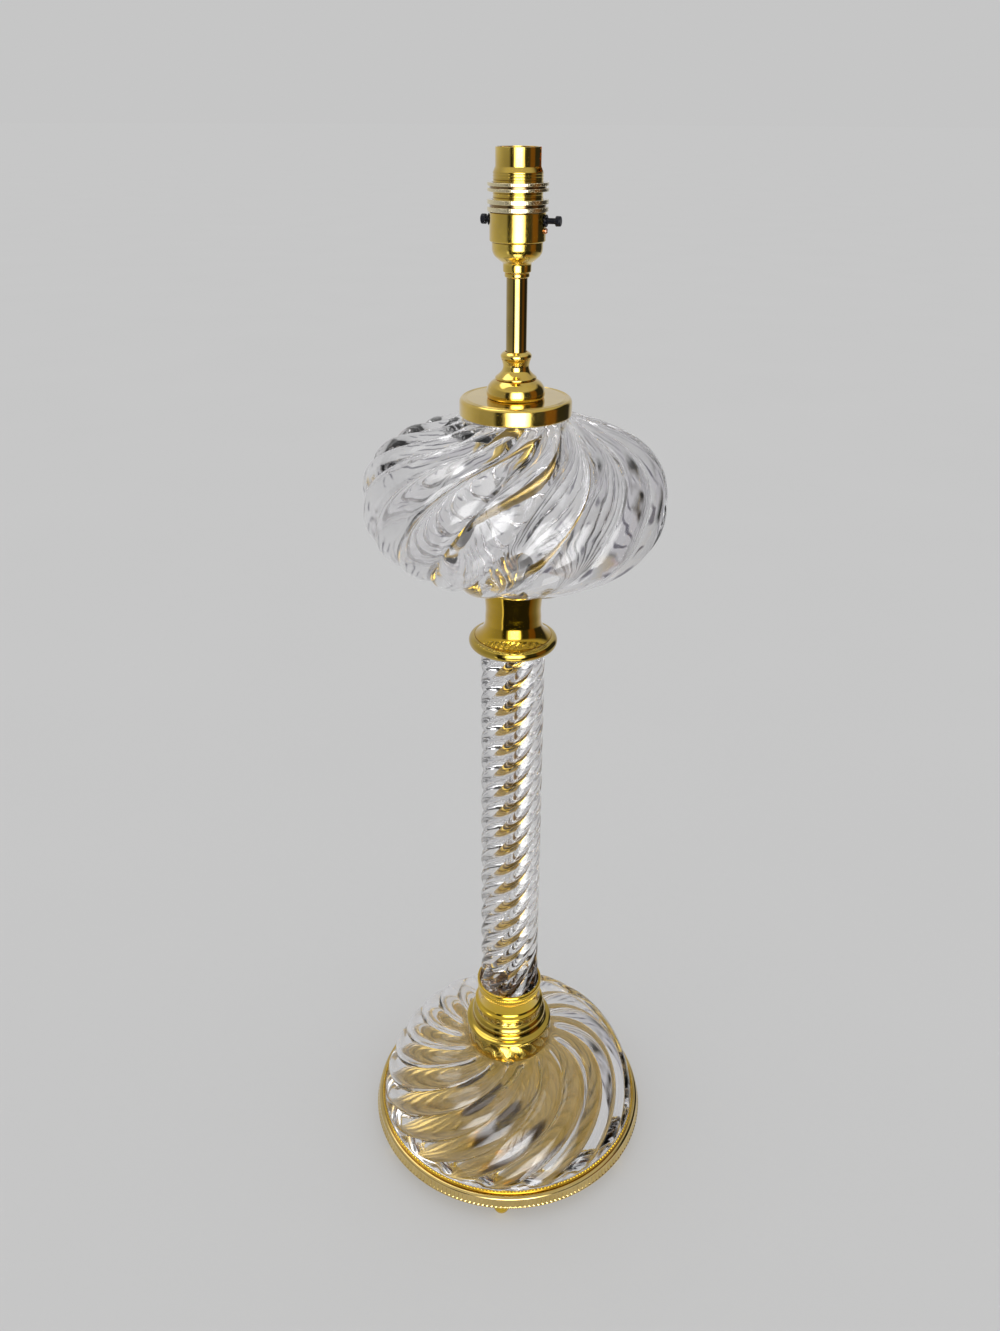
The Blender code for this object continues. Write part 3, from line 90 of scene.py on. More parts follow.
def outline(*parts):
    """Closed line of (radius, height) points, up the outside and down the inside.

    A part is a smooth run of points, or one corner (radius, height, ease). The corner
    becomes a parabola that leaves each side at the distance ease and aims at the
    corner. One more point past each end keeps the flats beside it flat."""
    rows = [np.column_stack([part, np.zeros(len(part))]) if np.ndim(part) == 2
            else np.array([part], float) for part in parts]
    line = np.vstack(rows)
    corner, ease = line[:, :2], line[:, 2]
    back = np.roll(corner, 1, axis=0) - corner
    ahead = np.roll(corner, -1, axis=0) - corner
    back_length = np.maximum(np.linalg.norm(back, axis=1), 1e-9)
    ahead_length = np.maximum(np.linalg.norm(ahead, axis=1), 1e-9)
    reach = np.minimum(ease, 0.33 * np.minimum(back_length, ahead_length))[:, None]
    start = back / back_length[:, None] * reach
    end = ahead / ahead_length[:, None] * reach
    part = np.linspace(0.0, 1.0, 7)[None, :, None]
    bend = (1.0 - part) ** 2 * start[:, None] + part ** 2 * end[:, None]
    bend = np.concatenate([1.4 * start[:, None], bend, 1.4 * end[:, None]], axis=1)
    kept = np.ones(bend.shape[:2], bool)
    kept[ease <= 0.0, 1:] = False
    return (corner[:, None] + bend)[kept]


def grid_faces(shape, loop):
    """Corners of the faces of a closed grid: rows that each go once round.

    With loop the last row joins the first; without it the two end rows have shrunk to
    a point, and their faces are triangles. The corners index the points that are used."""
    index = np.arange(shape[0] * shape[1]).reshape(shape[:2])
    if not loop:
        index[0] = index[0, 0]
        index[-1] = index[-1, 0]
    low = index if loop else index[:-1]
    high = np.roll(index, -1, axis=0) if loop else index[1:]
    quads = np.stack([low, np.roll(low, -1, axis=1), np.roll(high, -1, axis=1), high], axis=-1)
    used, quads = np.unique(quads.reshape(-1, 4), return_inverse=True)
    quads = quads.reshape(-1, 4)
    from_point = quads[:, 0] == quads[:, 1]
    to_point = quads[:, 2] == quads[:, 3]
    faces = (quads[~(from_point | to_point)].tolist() + quads[from_point][:, [0, 2, 3]].tolist()
             + quads[to_point][:, :3].tolist())
    return used, faces


def skin(name, rows, loop):
    """Mesh over rows of points in millimetres."""
    used, faces = grid_faces(rows.shape, loop)
    return mesh_piece(name, rows.reshape(-1, 3)[used], faces)


def smooth(mesh):
    """Shades round faces smooth and keeps real corners sharp."""
    mesh.shade_smooth()
    mesh.set_sharp_from_angle(angle=math.radians(40.0))


def mesh_piece(name, points, faces):
    """Object made from points in millimetres, with its place kept in its mesh."""
    mesh = bpy.data.meshes.new(name)
    mesh.from_pydata((np.asarray(points) * MM).tolist(), [], faces)
    smooth(mesh)
    piece = bpy.data.objects.new(name, mesh)
    bpy.context.scene.collection.objects.link(piece)
    return piece


def steps_round(count):
    """Angles of even steps once round."""
    return np.arange(count) * ROUND / count


def turned_rows(line, around, height=0.0, centre=(0.0, 0.0)):
    """An outline spun round Z: each of its points becomes a ring at its own radius."""
    angle = steps_round(around)
    radius, level = line[:, :1], line[:, 1:]
    return np.stack([centre[0] + radius * np.cos(angle), centre[1] + radius * np.sin(angle),
                     height + level + 0.0 * angle], axis=-1)


def turned(name, line, around=144, height=0.0, centre=(0.0, 0.0)):
    """A turned piece. An outline that starts and ends on the axis gives a solid one."""
    solid = line[0, 0] == 0.0 and line[-1, 0] == 0.0
    return skin(name, turned_rows(line, around, height, centre), not solid)


def foot_of(solid):
    """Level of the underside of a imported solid, in millimetres."""
    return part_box(solid)[0][2] / MM


def dress(piece, material, covers, body="lamp"):
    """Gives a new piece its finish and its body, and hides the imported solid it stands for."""
    piece.data.materials.clear()
    piece.data.materials.append(material)
    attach(piece, body)
    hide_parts(covers)
    return piece


def feed(made, feeds):
    """Gives inputs of a shader node their values, or joins them to other nodes' outputs."""
    for key, value in feeds.items():
        if isinstance(value, bpy.types.NodeSocket):
            made.id_data.links.new(value, made.inputs[key])
        else:
            made.inputs[key].default_value = value
    return made


def node(tree, kind, feeds=None, **settings):
    """A new shader node with its settings and what feeds its inputs."""
    made = tree.nodes.new("ShaderNode" + kind)
    for key, value in settings.items():
        setattr(made, key, value)
    return feed(made, feeds or {})


def shades(tree, amount, *stops):
    """Colour that runs through (position, red, green, blue) stops with an amount."""
    ramp = node(tree, "ValToRGB", {"Fac": amount})
    for index, stop in enumerate(stops):
        if index > 1:
            ramp.color_ramp.elements.new(stop[0])
        element = ramp.color_ramp.elements[index]
        element.position = stop[0]
        element.color = (*stop[1:], 1.0)
    return ramp.outputs["Color"]


def spread(tree, amount, low, high, start=0.3, end=0.7):
    """Number from low to high as an amount goes from start to end."""
    return node(tree, "MapRange", {"Value": amount, "From Min": start, "From Max": end,
                                   "To Min": low, "To Max": high}).outputs["Result"]


def drift(tree, where, scale, detail, roughness=0.5, **settings):
    """Noise: an amount around 0.5 that drifts, faster with a higher scale."""
    return node(tree, "TexNoise", {"Vector": where, "Scale": scale, "Detail": detail,
                                   "Roughness": roughness}, **settings).outputs["Fac"]


def combined(tree, operation, first, second):
    """One number made from two by an operation of the Math node."""
    return node(tree, "Math", {0: first, 1: second}, operation=operation).outputs["Value"]


def mixed(tree, amount, first, second, blend="MIX"):
    """One colour made from two."""
    feeds = {"Fac": amount, "Color1": first, "Color2": second}
    return node(tree, "MixRGB", feeds, blend_type=blend).outputs["Color"]


def relief(tree, height, strength, depth):
    """Normals of a skin whose fine relief is depth metres high at full strength."""
    made = node(tree, "Bump", {"Height": height, "Strength": strength, "Distance": depth})
    return made.outputs["Normal"]


def new_finish(name):
    """A new material, its node tree, its shader and the place on the object."""
    material = bpy.data.materials.new(name)
    material.use_nodes = True
    tree = material.node_tree
    where = node(tree, "TexCoord").outputs["Object"]
    return material, tree, tree.nodes["Principled BSDF"], where


def brass(name, deep=(0.68, 0.43, 0.010), bright=(0.84, 0.56, 0.025), gloss=0.07, haze=0.15,
          marks=0.03, centre=(0.0, 0.0, 0.0), unpolished_or_shade_radius=0.0, unpolished_or_shade_colour=(0.74, 0.52, 0.14)):
    """Polished and lacquered brass: rings left by the lathe, slow drift of colour,
    hazier patches where it was handled, and a clear lacquer over it all. Nearer the
    axis than a given radius, in millimetres, it has its own colour and roughness: dull
    unpolished brass, or a dark colour that is painted shade in a hollow."""
    material, tree, shader, where = new_finish(name)
    own = node(tree, "Mapping", {"Vector": where, "Location": [-value * MM for value in centre]})
    own = own.outputs["Vector"]
    flat = node(tree, "VectorMath", {0: own, 1: (1.0, 1.0, 0.0)}, operation="MULTIPLY").outputs["Vector"]
    reach = node(tree, "VectorMath", {0: flat}, operation="LENGTH").outputs["Value"]
    level = node(tree, "SeparateXYZ", {"Vector": own}).outputs["Z"]
    rings = node(tree, "CombineXYZ", {"X": reach, "Y": level}).outputs["Vector"]
    lines = drift(tree, rings, 2400.0, 3.0, noise_dimensions="2D")
    patches = drift(tree, own, 42.0, 4.0, 0.55)
    grain = drift(tree, own, 900.0, 2.0)
    polished = spread(tree, reach, 0.0, 1.0, (unpolished_or_shade_radius - 0.2) * MM, unpolished_or_shade_radius * MM)
    dull = [value * 0.86 for value in unpolished_or_shade_colour]
    colour = mixed(tree, polished, shades(tree, grain, (0.35, *dull), (0.65, *unpolished_or_shade_colour)),
                   shades(tree, patches, (0.32, *deep), (0.66, *bright)))
    haziness = spread(tree, combined(tree, "MULTIPLY", patches, grain), gloss, haze, 0.18, 0.36)
    roughness = node(tree, "Mix", {"Factor": polished, "A": 0.15, "B": haziness})
    feed(shader, {"Base Color": colour, "Roughness": roughness.outputs["Result"],
                  "Normal": relief(tree, lines, marks, 0.00005), "Metallic": 1.0,
                  "Coat Weight": 1.0, "Coat Roughness": 0.04, "Coat IOR": 1.48})
    return material


def brassware(name, line, around, metal, covers):
    """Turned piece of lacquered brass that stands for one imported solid, at its foot."""
    return dress(turned(name, line, around, foot_of(covers)), metal, covers)


FEET = 6
FOOT_CIRCLE = 103.0
FOOT_TURN = -74.0
swell = spline([(2.8, 0.0), (4.6, 0.7), (6.0, 2.9), (6.3, 5.3), (5.7, 7.9), (4.5, 9.7), (3.7, 10.6),
                (3.6, 11.7)], 30)
foot_line = outline((0.0, 0.0, 0.0), swell, (2.0, 11.7, 0.2), (2.0, 16.0, 0.3), (0.0, 16.0, 0.0))
for index in range(FEET):
    turn = math.radians(FOOT_TURN + 360.0 / FEET * index)
    spot = (FOOT_CIRCLE * math.cos(turn), FOOT_CIRCLE * math.sin(turn))
    foot = turned(f"bun_foot_{index + 1}", foot_line, 48, 0.0, spot)
    dress(foot, brass(f"foot_brass_{index + 1}", centre=(*spot, 0.0)), f"foot_{index + 1}")

# Cast brass plate under the base glass. Its sloping rim is reeded all round, with a
# plain lip above and below, and the glass stands in a shallow seat turned in its top.


def carved(name, line, covers, cut):
    """A turned piece with its skin let in towards the axis by a cut at each point."""
    rows = turned_rows(line, cut.shape[1], foot_of(covers))
    rows[..., :2] *= (1.0 - cut / line[:, :1])[..., None]
    return skin(name, rows, True)


ROD_HOLE = 5.3
REEDS = 200
REED_STEPS = 6
REED_DEPTH = 0.8
REEDS_FROM, REEDS_TO, REED_EASE = 1.1, 7.0, 1.2
RIM_FOOT, RIM_TOP = 111.7, 109.1
SEAT_RADIUS = 107.2
UNPOLISHED_RADIUS = 104.0
PLATE_TOP, PLATE_UNDERSIDE = 8.0, 5.0
plate_line = outline((RIM_FOOT - 0.5, 0.0, 0.0), (RIM_FOOT, 0.45, 0.0), (RIM_FOOT, 1.1, 0.0),
                     spline([(RIM_FOOT - 0.15, 1.4), (110.3, 6.4)], 12),
                     spline([(110.1, 6.9), (109.9, 8.1), (RIM_TOP - 0.3, 9.0), (108.4, 9.3)], 8),
                     (SEAT_RADIUS, 9.3, 0.15), (SEAT_RADIUS, PLATE_TOP, 0.15), (92.0, PLATE_TOP, 0.0),
                     (20.0, PLATE_TOP, 0.0), (ROD_HOLE, PLATE_TOP, 0.2), (ROD_HOLE, PLATE_UNDERSIDE, 0.2),
                     (94.0, PLATE_UNDERSIDE, 0.3), (94.0, 0.0, 0.3))
valley = 1.0 - np.abs(np.sin(0.5 * REEDS * steps_round(REEDS * REED_STEPS)))
level = plate_line[:, 1]
along = np.clip(np.minimum(level - REEDS_FROM, REEDS_TO - level) / REED_EASE, 0.0, 1.0)
along *= plate_line[:, 0] > RIM_TOP - 0.1
reeded = carved("reeded_plate", plate_line, "base_plate", REED_DEPTH * np.sqrt(along)[:, None] * valley)
plate_brass = brass("cast_plate_brass", deep=(0.62, 0.44, 0.12), bright=(0.78, 0.58, 0.21), gloss=0.06,
                    haze=0.14, unpolished_or_shade_radius=UNPOLISHED_RADIUS)
dress(reeded, plate_brass, "base_plate")

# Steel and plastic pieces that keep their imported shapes: the hollow threaded rod that
# clamps the stack, its nuts and washer, the bush for a flex, and those of the same
# kinds in the column's cap and the lampholder.


def steel(name, colour=(0.60, 0.60, 0.58), gloss=0.24, haze=0.42):
    """Zinc-plated steel: cloudy plating over fine drawn lines, duller in places."""
    material, tree, shader, where = new_finish(name)
    clouds = drift(tree, where, 260.0, 4.0)
    stretched = node(tree, "Mapping", {"Vector": where, "Scale": (300.0, 300.0, 2600.0)})
    lines = drift(tree, stretched.outputs["Vector"], 1.0, 2.0)
    dull = [value * 0.78 for value in colour]
    feed(shader, {"Base Color": shades(tree, clouds, (0.3, *dull), (0.7, *colour)),
                  "Roughness": spread(tree, clouds, gloss, haze), "Metallic": 1.0,
                  "Normal": relief(tree, lines, 0.15, 0.00005)})
    return material


def moulded(name, colour, pale, gloss, haze):
    """Moulded plastic: an even colour with faint flow marks and a soft orange-peel skin."""
    material, tree, shader, where = new_finish(name)
    flow = drift(tree, where, 180.0, 3.0)
    peel = drift(tree, where, 1800.0, 1.0)
    feed(shader, {"Base Color": shades(tree, flow, (0.3, *colour), (0.75, *pale)),
                  "Roughness": spread(tree, flow, gloss, haze),
                  "Normal": relief(tree, peel, 0.2, 0.00004)})
    return material


def repaint(material, slot, *names):
    """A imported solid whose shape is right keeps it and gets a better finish."""
    for name in names:
        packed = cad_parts[name]
        packed.data.materials.clear()
        packed.data.materials.append(material)


zinc = steel("zinc_plated_steel")
bakelite = moulded("black_moulding", (0.005, 0.006, 0.011), (0.012, 0.013, 0.020), 0.25, 0.38)
feed(bakelite.node_tree.nodes["Principled BSDF"], {"Specular IOR Level": 0.25})
repaint(zinc, "plated_steel", "tie_rod", "base_washer", "base_nut", "top_nut", "holder_nipple",
        "cap_grub_screw")
repaint(bakelite, "black_plastic", "rod_end_bush", "switch_block")

# Brass gallery round the foot of the base glass: a thin plain band with a row of
# small beads rolled along its top edge.
BEADS = 240
BEAD_SIZE = (0.85, 1.2, 1.15)
BEAD_SIDES, BEAD_ROWS = 8, 7
BEAD_CIRCLE, BEAD_LEVEL = 105.95, 3.7
BAND_OUTER, BAND_INNER, BAND_HEIGHT = 106.8, 105.1, 3.6
gallery = foot_of("glass_ring")
band_line = outline((BAND_OUTER, 0.0, 0.2), (BAND_OUTER, BAND_HEIGHT, 0.3), (BAND_INNER, BAND_HEIGHT, 0.3),
                    (BAND_INNER, 0.0, 0.2))
band_rows = turned_rows(band_line, 288, gallery)
bead_turn = steps_round(BEAD_SIDES)
bead_level = np.linspace(-0.5 * np.pi, 0.5 * np.pi, BEAD_ROWS)
bead_waist = np.cos(bead_level)[:, None]
bead = np.stack([bead_waist * np.cos(bead_turn), bead_waist * np.sin(bead_turn),
                 np.sin(bead_level)[:, None] + 0.0 * bead_turn], axis=-1) * BEAD_SIZE
spin = steps_round(BEADS)[:, None, None]
reach = BEAD_CIRCLE + bead[..., 0]
bead_points = np.stack([reach * np.cos(spin) - bead[..., 1] * np.sin(spin),
                        reach * np.sin(spin) + bead[..., 1] * np.cos(spin),
                        gallery + BEAD_LEVEL + bead[..., 2] + 0.0 * spin], axis=-1)
used, bead_faces = grid_faces(bead.shape, False)
bead_points = bead_points.reshape(BEADS, -1, 3)[:, used].reshape(-1, 3)
band_used, band_faces = grid_faces(band_rows.shape, True)
first = len(band_used) + np.arange(BEADS) * len(used)
all_faces = band_faces + [[corner + start for corner in face]
                          for start in first.tolist() for face in bead_faces]
all_points = np.vstack([band_rows.reshape(-1, 3)[band_used], bead_points])
beaded = mesh_piece("beaded_gallery", all_points, all_faces)
dress(beaded, brass("gallery_brass"), "glass_ring")

# Base glass: one thick pressing of clear crystal, smooth inside. Eighteen rounded
# lobes sweep from the collar to a plain foot band, meeting in sharp grooves.


def crystal(name, tint=(0.955, 0.950, 0.962), clear=(0.990, 0.988, 0.992), ripple=0.05):
    """Polished lead crystal: clear with a breath of violet, and a fire-polished skin
    that is never quite flat."""
    material, tree, shader, where = new_finish(name)
    cords = drift(tree, where, 30.0, 2.0)
    waves = drift(tree, where, 95.0, 1.0)
    feed(shader, {"Base Color": shades(tree, cords, (0.3, *tint), (0.7, *clear)),
                  "Roughness": spread(tree, waves, 0.0, 0.012), "Transmission Weight": 1.0,
                  "IOR": 1.53, "Normal": relief(tree, waves, ripple, 0.001)})
    return material


def eased(value, low, high):
    """0 below low, 1 above high, and a smooth rise between them."""
    part = np.clip((value - low) / (high - low), 0.0, 1.0)
    return part * part * (3.0 - 2.0 * part)


def lobed(line, turn, depth, lobes, steps, height, side=1.0, swell=0.72):
    """Rows round a line of (radius, height) points whose rings are rounded lobes.

    Round each ring the surface sinks, square to itself, by depth times one less the
    size of the sine to the power swell, so the lobes are full and meet in a groove. Turn
    swings each ring. Side is 1 for a line that runs down its outside, -1 up it."""
    share = np.arange(lobes * steps) / steps
    run = np.gradient(line, axis=0)
    outward = side * np.column_stack([-run[:, 1], run[:, 0]]) / np.linalg.norm(run, axis=1)[:, None]
    sunk = depth[:, None] * (1.0 - np.abs(np.sin(np.pi * share)) ** swell)
    radius = line[:, :1] - sunk * outward[:, :1]
    angle = turn[:, None] + ROUND * share / lobes
    return np.stack([radius * np.cos(angle), radius * np.sin(angle),
                     height + line[:, 1:] - sunk * outward[:, 1:]], axis=-1)


def arc_length(line):
    """How far along a line of points each of them lies."""
    return np.concatenate([[0.0], np.cumsum(np.linalg.norm(np.diff(line, axis=0), axis=1))])


LOBES, LOBE_STEPS = 18, 16
GLASS_RADIUS = 104.7
GLASS_BAND = 3.6
GLASS_CROWN = 60.8
GLASS_HOLE = 12.0
GLASS_WALL = 7.0
GLASS_LOBE_DEPTH, GLASS_LOBE_GROWTH = 4.4, 0.6
PLAIN_UNDER_COLLAR, LOBES_FULL_FROM = 34.4, 42.4
SWEEP_SLOPE, SWEEP_BEND = 0.42, 0.0022
SIDE_POWER, CROWN_POWER = 5.14, 1.56


def dome(radius, outer, crown):
    """Height of a dome that is flat on top and square-shouldered, as two linked powers."""
    return crown * (1.0 - np.minimum(radius / outer, 1.0) ** SIDE_POWER) ** (1.0 / CROWN_POWER)


sweep = np.sin(np.linspace(0.0, 0.5 * np.pi, 110))
radius = GLASS_HOLE + (GLASS_RADIUS - GLASS_HOLE) * sweep
outer = np.column_stack([radius, GLASS_BAND + dome(radius, GLASS_RADIUS, GLASS_CROWN)])
inner_radius = GLASS_RADIUS - GLASS_WALL
radius = GLASS_HOLE + (inner_radius - GLASS_HOLE) * np.sin(np.linspace(0.5 * np.pi, 0.0, 50))
inner = np.column_stack([radius, GLASS_BAND + dome(radius, inner_radius, GLASS_CROWN - GLASS_WALL)])
foot_band = outline((GLASS_RADIUS, GLASS_BAND * 0.6, 0.0), (GLASS_RADIUS, 0.0, 0.6),
                    (inner_radius, 0.0, 0.6), (inner_radius, GLASS_BAND * 0.6, 0.0))
glass_line = np.vstack([outer, foot_band, inner])
travelled = arc_length(outer)
outer_turn = -np.radians(SWEEP_SLOPE * travelled + SWEEP_BEND * travelled ** 2)
turn = np.concatenate([outer_turn, np.full(len(foot_band) + len(inner), outer_turn[-1])])
outer_depth = GLASS_LOBE_DEPTH * (outer[:, 0] / GLASS_RADIUS) ** GLASS_LOBE_GROWTH
outer_depth *= eased(outer[:, 0], PLAIN_UNDER_COLLAR, LOBES_FULL_FROM)
outer_depth *= eased(outer[:, 1], GLASS_BAND + 0.5, GLASS_BAND + 6.0)
depth = np.concatenate([outer_depth, np.zeros(len(foot_band) + len(inner))])
rows = lobed(glass_line, turn, depth, LOBES, LOBE_STEPS, foot_of("base_glass"))
dress(skin("swirled_base_glass", rows[::-1], True), crystal("base_crystal"), "base_glass")

# Collar on the base glass, in three turned brass pieces: a drum whose shoulder curls
# in, a bulged ring, and the cup that holds the column, milled just under its lip.
COLLAR_STEPS = 192
DRUM_INSIDE_ROWS = 28
collar_brass = brass("collar_brass", deep=(0.50, 0.33, 0.02), bright=(0.65, 0.45, 0.045), gloss=0.025,
                     haze=0.07)
shoulder = spline([(34.4, 17.2), (34.0, 18.3), (32.6, 19.1), (30.8, 19.6), (29.7, 20.4), (29.2, 21.4)], 20)
drum_line = outline((34.4, 0.0, 0.3), shoulder, (ROD_HOLE, 21.4, 0.2), (ROD_HOLE, 19.0, 0.2),
                    (26.8, 19.0, 1.0), (32.0, 14.8, 1.0), (32.0, 0.0, 0.3))
drum = brassware("flange_drum", drum_line, COLLAR_STEPS, collar_brass, "collar_flange")
# The drum's inside faces get a near-black brass: painted shade in its hollow.
drum.data.materials.append(brass("painted_shade_inside", unpolished_or_shade_radius=80.0, unpolished_or_shade_colour=(0.09, 0.06, 0.025)))
inward = np.zeros(len(drum.data.polygons), np.int32)
inward[COLLAR_STEPS * (len(drum_line) - DRUM_INSIDE_ROWS):] = 1
drum.data.polygons.foreach_set("material_index", inward)
bulge = spline([(28.5, 0.0), (29.3, 1.6), (29.6, 3.7), (29.1, 6.0), (27.9, 7.6), (26.9, 8.4),
                (26.7, 9.6)], 30)
step_line = outline(bulge, (27.0, 13.7, 0.6), (24.8, 13.7, 0.3), (24.8, 0.0, 0.3))
brassware("bulged_ring", step_line, COLLAR_STEPS, collar_brass, "collar_step")
TEETH, TOOTH_STEPS, TOOTH_DEPTH = 96, 8, 0.6
CUP_WALL = 24.5
cup_foot = spline([(27.4, 0.8), (27.4, 1.6), (26.9, 2.4), (25.7, 3.2), (24.8, 4.2), (24.4, 5.6)], 18)
milled_band = spline([(24.7, 14.6), (25.1, 15.4), (25.2, 17.2), (25.1, 19.0), (24.7, 19.7)], 16)
cup_lip = spline([(25.6, 20.6), (25.7, 21.6), (25.6, 22.8)], 8)
cup_line = outline((26.9, 0.0, 0.3), cup_foot, (24.3, 14.2, 0.2), milled_band, (25.2, 20.1, 0.2), cup_lip,
                   (25.2, 23.8, 0.5), (23.3, 23.8, 0.6), (23.3, 3.0, 0.3), (ROD_HOLE, 3.0, 0.2),
                   (ROD_HOLE, 0.0, 0.2))
valley = (1.0 - np.abs(np.sin(0.5 * TEETH * steps_round(TEETH * TOOTH_STEPS)))) ** 1.5
on_band = eased(cup_line[:, 1], 14.5, 15.3) * (1.0 - eased(cup_line[:, 1], 19.1, 19.8))
on_band *= cup_line[:, 0] > CUP_WALL
milled = carved("milled_cup", cup_line, "column_socket", TOOTH_DEPTH * on_band[:, None] * valley)
# Within 24 mm of the axis the cup is dark brown: painted shade on its inner wall and floor.
rim_brass = brass("milled_cup_brass", gloss=0.025, haze=0.07, unpolished_or_shade_radius=24.0, unpolished_or_shade_colour=(0.30, 0.17, 0.06))
dress(milled, rim_brass, "column_socket")

# Column: a thick clear glass tube, its outside pressed into ten spiral ribs that
# climb right-handed, ground flat at both ends between two soft washers.
COLUMN_LENGTH = 321.0
COLUMN_RADIUS, COLUMN_TAPER = 22.6, 0.8
COLUMN_BORE = 7.5
RIBS, RIB_DEPTH, RIB_START = 10, 2.4, 0.245
RIB_RISE, RIB_RISE_LOST = 17.55, 2.3
RIBS_TIGHTEN_FROM, RIBS_TIGHTEN_TO = 195.0, 290.0
climb = np.linspace(0.0, COLUMN_LENGTH, 200)
outside = np.column_stack([COLUMN_RADIUS - COLUMN_TAPER * climb / COLUMN_LENGTH, climb])
bore = np.column_stack([np.full(30, COLUMN_BORE), np.linspace(COLUMN_LENGTH, 0.0, 30)])
column_line = np.vstack([outside, bore])
rise = RIB_RISE - RIB_RISE_LOST * eased(climb, RIBS_TIGHTEN_FROM, RIBS_TIGHTEN_TO)
ribs_passed = np.cumsum(np.diff(climb) * (0.5 / rise[1:] + 0.5 / rise[:-1]))
passed = np.concatenate([[RIB_START], RIB_START + ribs_passed])
turn = ROUND / RIBS * np.concatenate([passed, np.full(len(bore), passed[-1])])
depth = np.concatenate([np.full(len(outside), RIB_DEPTH), np.zeros(len(bore))])
rows = lobed(column_line, turn, depth, RIBS, LOBE_STEPS, foot_of("column_glass"), side=-1.0, swell=1.0)
dress(skin("spiral_column", rows, True), crystal("column_crystal", ripple=0.02), "column_glass")
milky = moulded("milky_washer", (0.52, 0.51, 0.47), (0.62, 0.61, 0.57), 0.35, 0.55)
feed(milky.node_tree.nodes["Principled BSDF"], {"Transmission Weight": 0.35, "IOR": 1.42})
for name, outer_radius, hole, thick in (("column_lower_washer", 19.8, 6.2, 1.5),
                                        ("column_upper_washer", 19.8, 6.2, 1.5),
                                        ("reservoir_lower_washer", 17.9, 6.2, 1.0),
                                        ("reservoir_upper_washer", 32.4, 28.4, 1.0)):
    ring = outline((outer_radius, 0.0, 0.3), (outer_radius, thick, 0.3), (hole, thick, 0.3),
                   (hole, 0.0, 0.3))
    dress(turned(f"soft_{name}", ring, 96, foot_of(name)), milky, name)

# Brass tubes that cover the rod, one inside the column and one inside the bowl. They
# are seen through the glass, which spreads them into the gold between its ribs.


def height_of(solid):
    """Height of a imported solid, in millimetres."""
    low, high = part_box(solid)
    return (high[2] - low[2]) / MM


SLEEVE_RADIUS = 5.8
sleeve_brass = brass("sleeve_brass", deep=(0.66, 0.43, 0.05), bright=(0.80, 0.55, 0.10), gloss=0.02,
                     haze=0.06)
# The tube inside the bowl gets a darker, duller copy of the sleeve brass: painted shade.
shaded_sleeve_brass = brass("painted_shade_sleeve_brass", deep=(0.34, 0.22, 0.04), bright=(0.52, 0.36, 0.09), gloss=0.28,
                   haze=0.42)
for name, metal in (("column_sleeve", sleeve_brass), ("reservoir_sleeve", shaded_sleeve_brass)):
    tall = height_of(name)
    side = spline([(SLEEVE_RADIUS, 1.0), (SLEEVE_RADIUS, tall - 1.0)], 24)
    tube = outline((SLEEVE_RADIUS, 0.0, 0.1), side, (SLEEVE_RADIUS, tall, 0.1), (ROD_HOLE, tall, 0.2),
                   (ROD_HOLE, 0.0, 0.2))
    brassware(f"{name}_tube", tube, 64, metal, name)

# Cap on the column, turned with a fat bead that hides the glass's end, and the drawn
# bell that flares out over it and carries the bowl.
BELL_RADIUS, BELL_FLARE, BELL_CURVE = 18.9, 6.7, 3.3
BELL_FLARE_HEIGHT, BELL_HEIGHT = 14.6, 42.3
bead_edge = spline([(26.3, 0.0), (28.4, 0.6), (29.6, 2.0), (30.0, 3.9), (29.6, 5.7), (28.4, 7.1),
                    (26.5, 7.75), (25.8, 7.6)], 36)
cap_line = outline(bead_edge, (25.4, 7.2, 0.2), (ROD_HOLE, 7.2, 0.2), (ROD_HOLE, 5.5, 0.2),
                   (22.8, 5.5, 0.4), (22.8, 0.0, 0.6))
brassware("beaded_cap", cap_line, COLLAR_STEPS, collar_brass, "column_cap")
height = np.linspace(0.0, 1.0, 40)
bell_side = np.column_stack([BELL_RADIUS + BELL_FLARE * (1.0 - height) ** BELL_CURVE,
                             BELL_FLARE_HEIGHT * height])
waist = spline([(18.7, 17.0), (18.7, 20.0), (19.0, 24.0), (19.5, 30.0), (19.6, 38.0)], 20)
bell_line = outline((25.6, -0.5, 0.0), bell_side, waist, (19.4, 41.0, 0.2), (18.9, BELL_HEIGHT, 0.6),
                    (ROD_HOLE, BELL_HEIGHT, 0.2), (ROD_HOLE, 39.3, 0.2), (16.9, 39.3, 1.0), (16.9, 0.5, 0.3),
                    (24.0, -0.5, 0.0))
bell_brass = brass("bell_brass", deep=(0.56, 0.34, 0.004), bright=(0.70, 0.44, 0.008), gloss=0.05,
                   haze=0.12)
brassware("drawn_bell", bell_line, COLLAR_STEPS, bell_brass, "reservoir_bell")

# Bowl of the old oil-lamp form: clear blown glass in a mould, eighteen lobes swirling
# from the neck round the belly to the foot, the inside left smooth.
BOWL_RADIUS = 96.2
BOWL_LOWER, BOWL_UPPER = 51.4, 49.0
BOWL_FOOT, BOWL_NECK = 20.0, 32.4
BOWL_WALL = 5.0
BELLY_EXTRA = 3.8
NECK_HEIGHT, NECK_BEVEL = 7.0, 0.5
NECK_LIFT, NECK_LIFT_REACH = 5.4, 28.0
UPPER_POWER, LOWER_POWER = 2.6, 2.4
INNER_FOOT, BOWL_HOLE = 12.0, 7.5
BOWL_LOBE_DEPTH, BOWL_LOBE_LOSS, BOWL_LOBE_FADE = 5.2, 2.2, 24.0
BOWL_SWIRL = 0.68


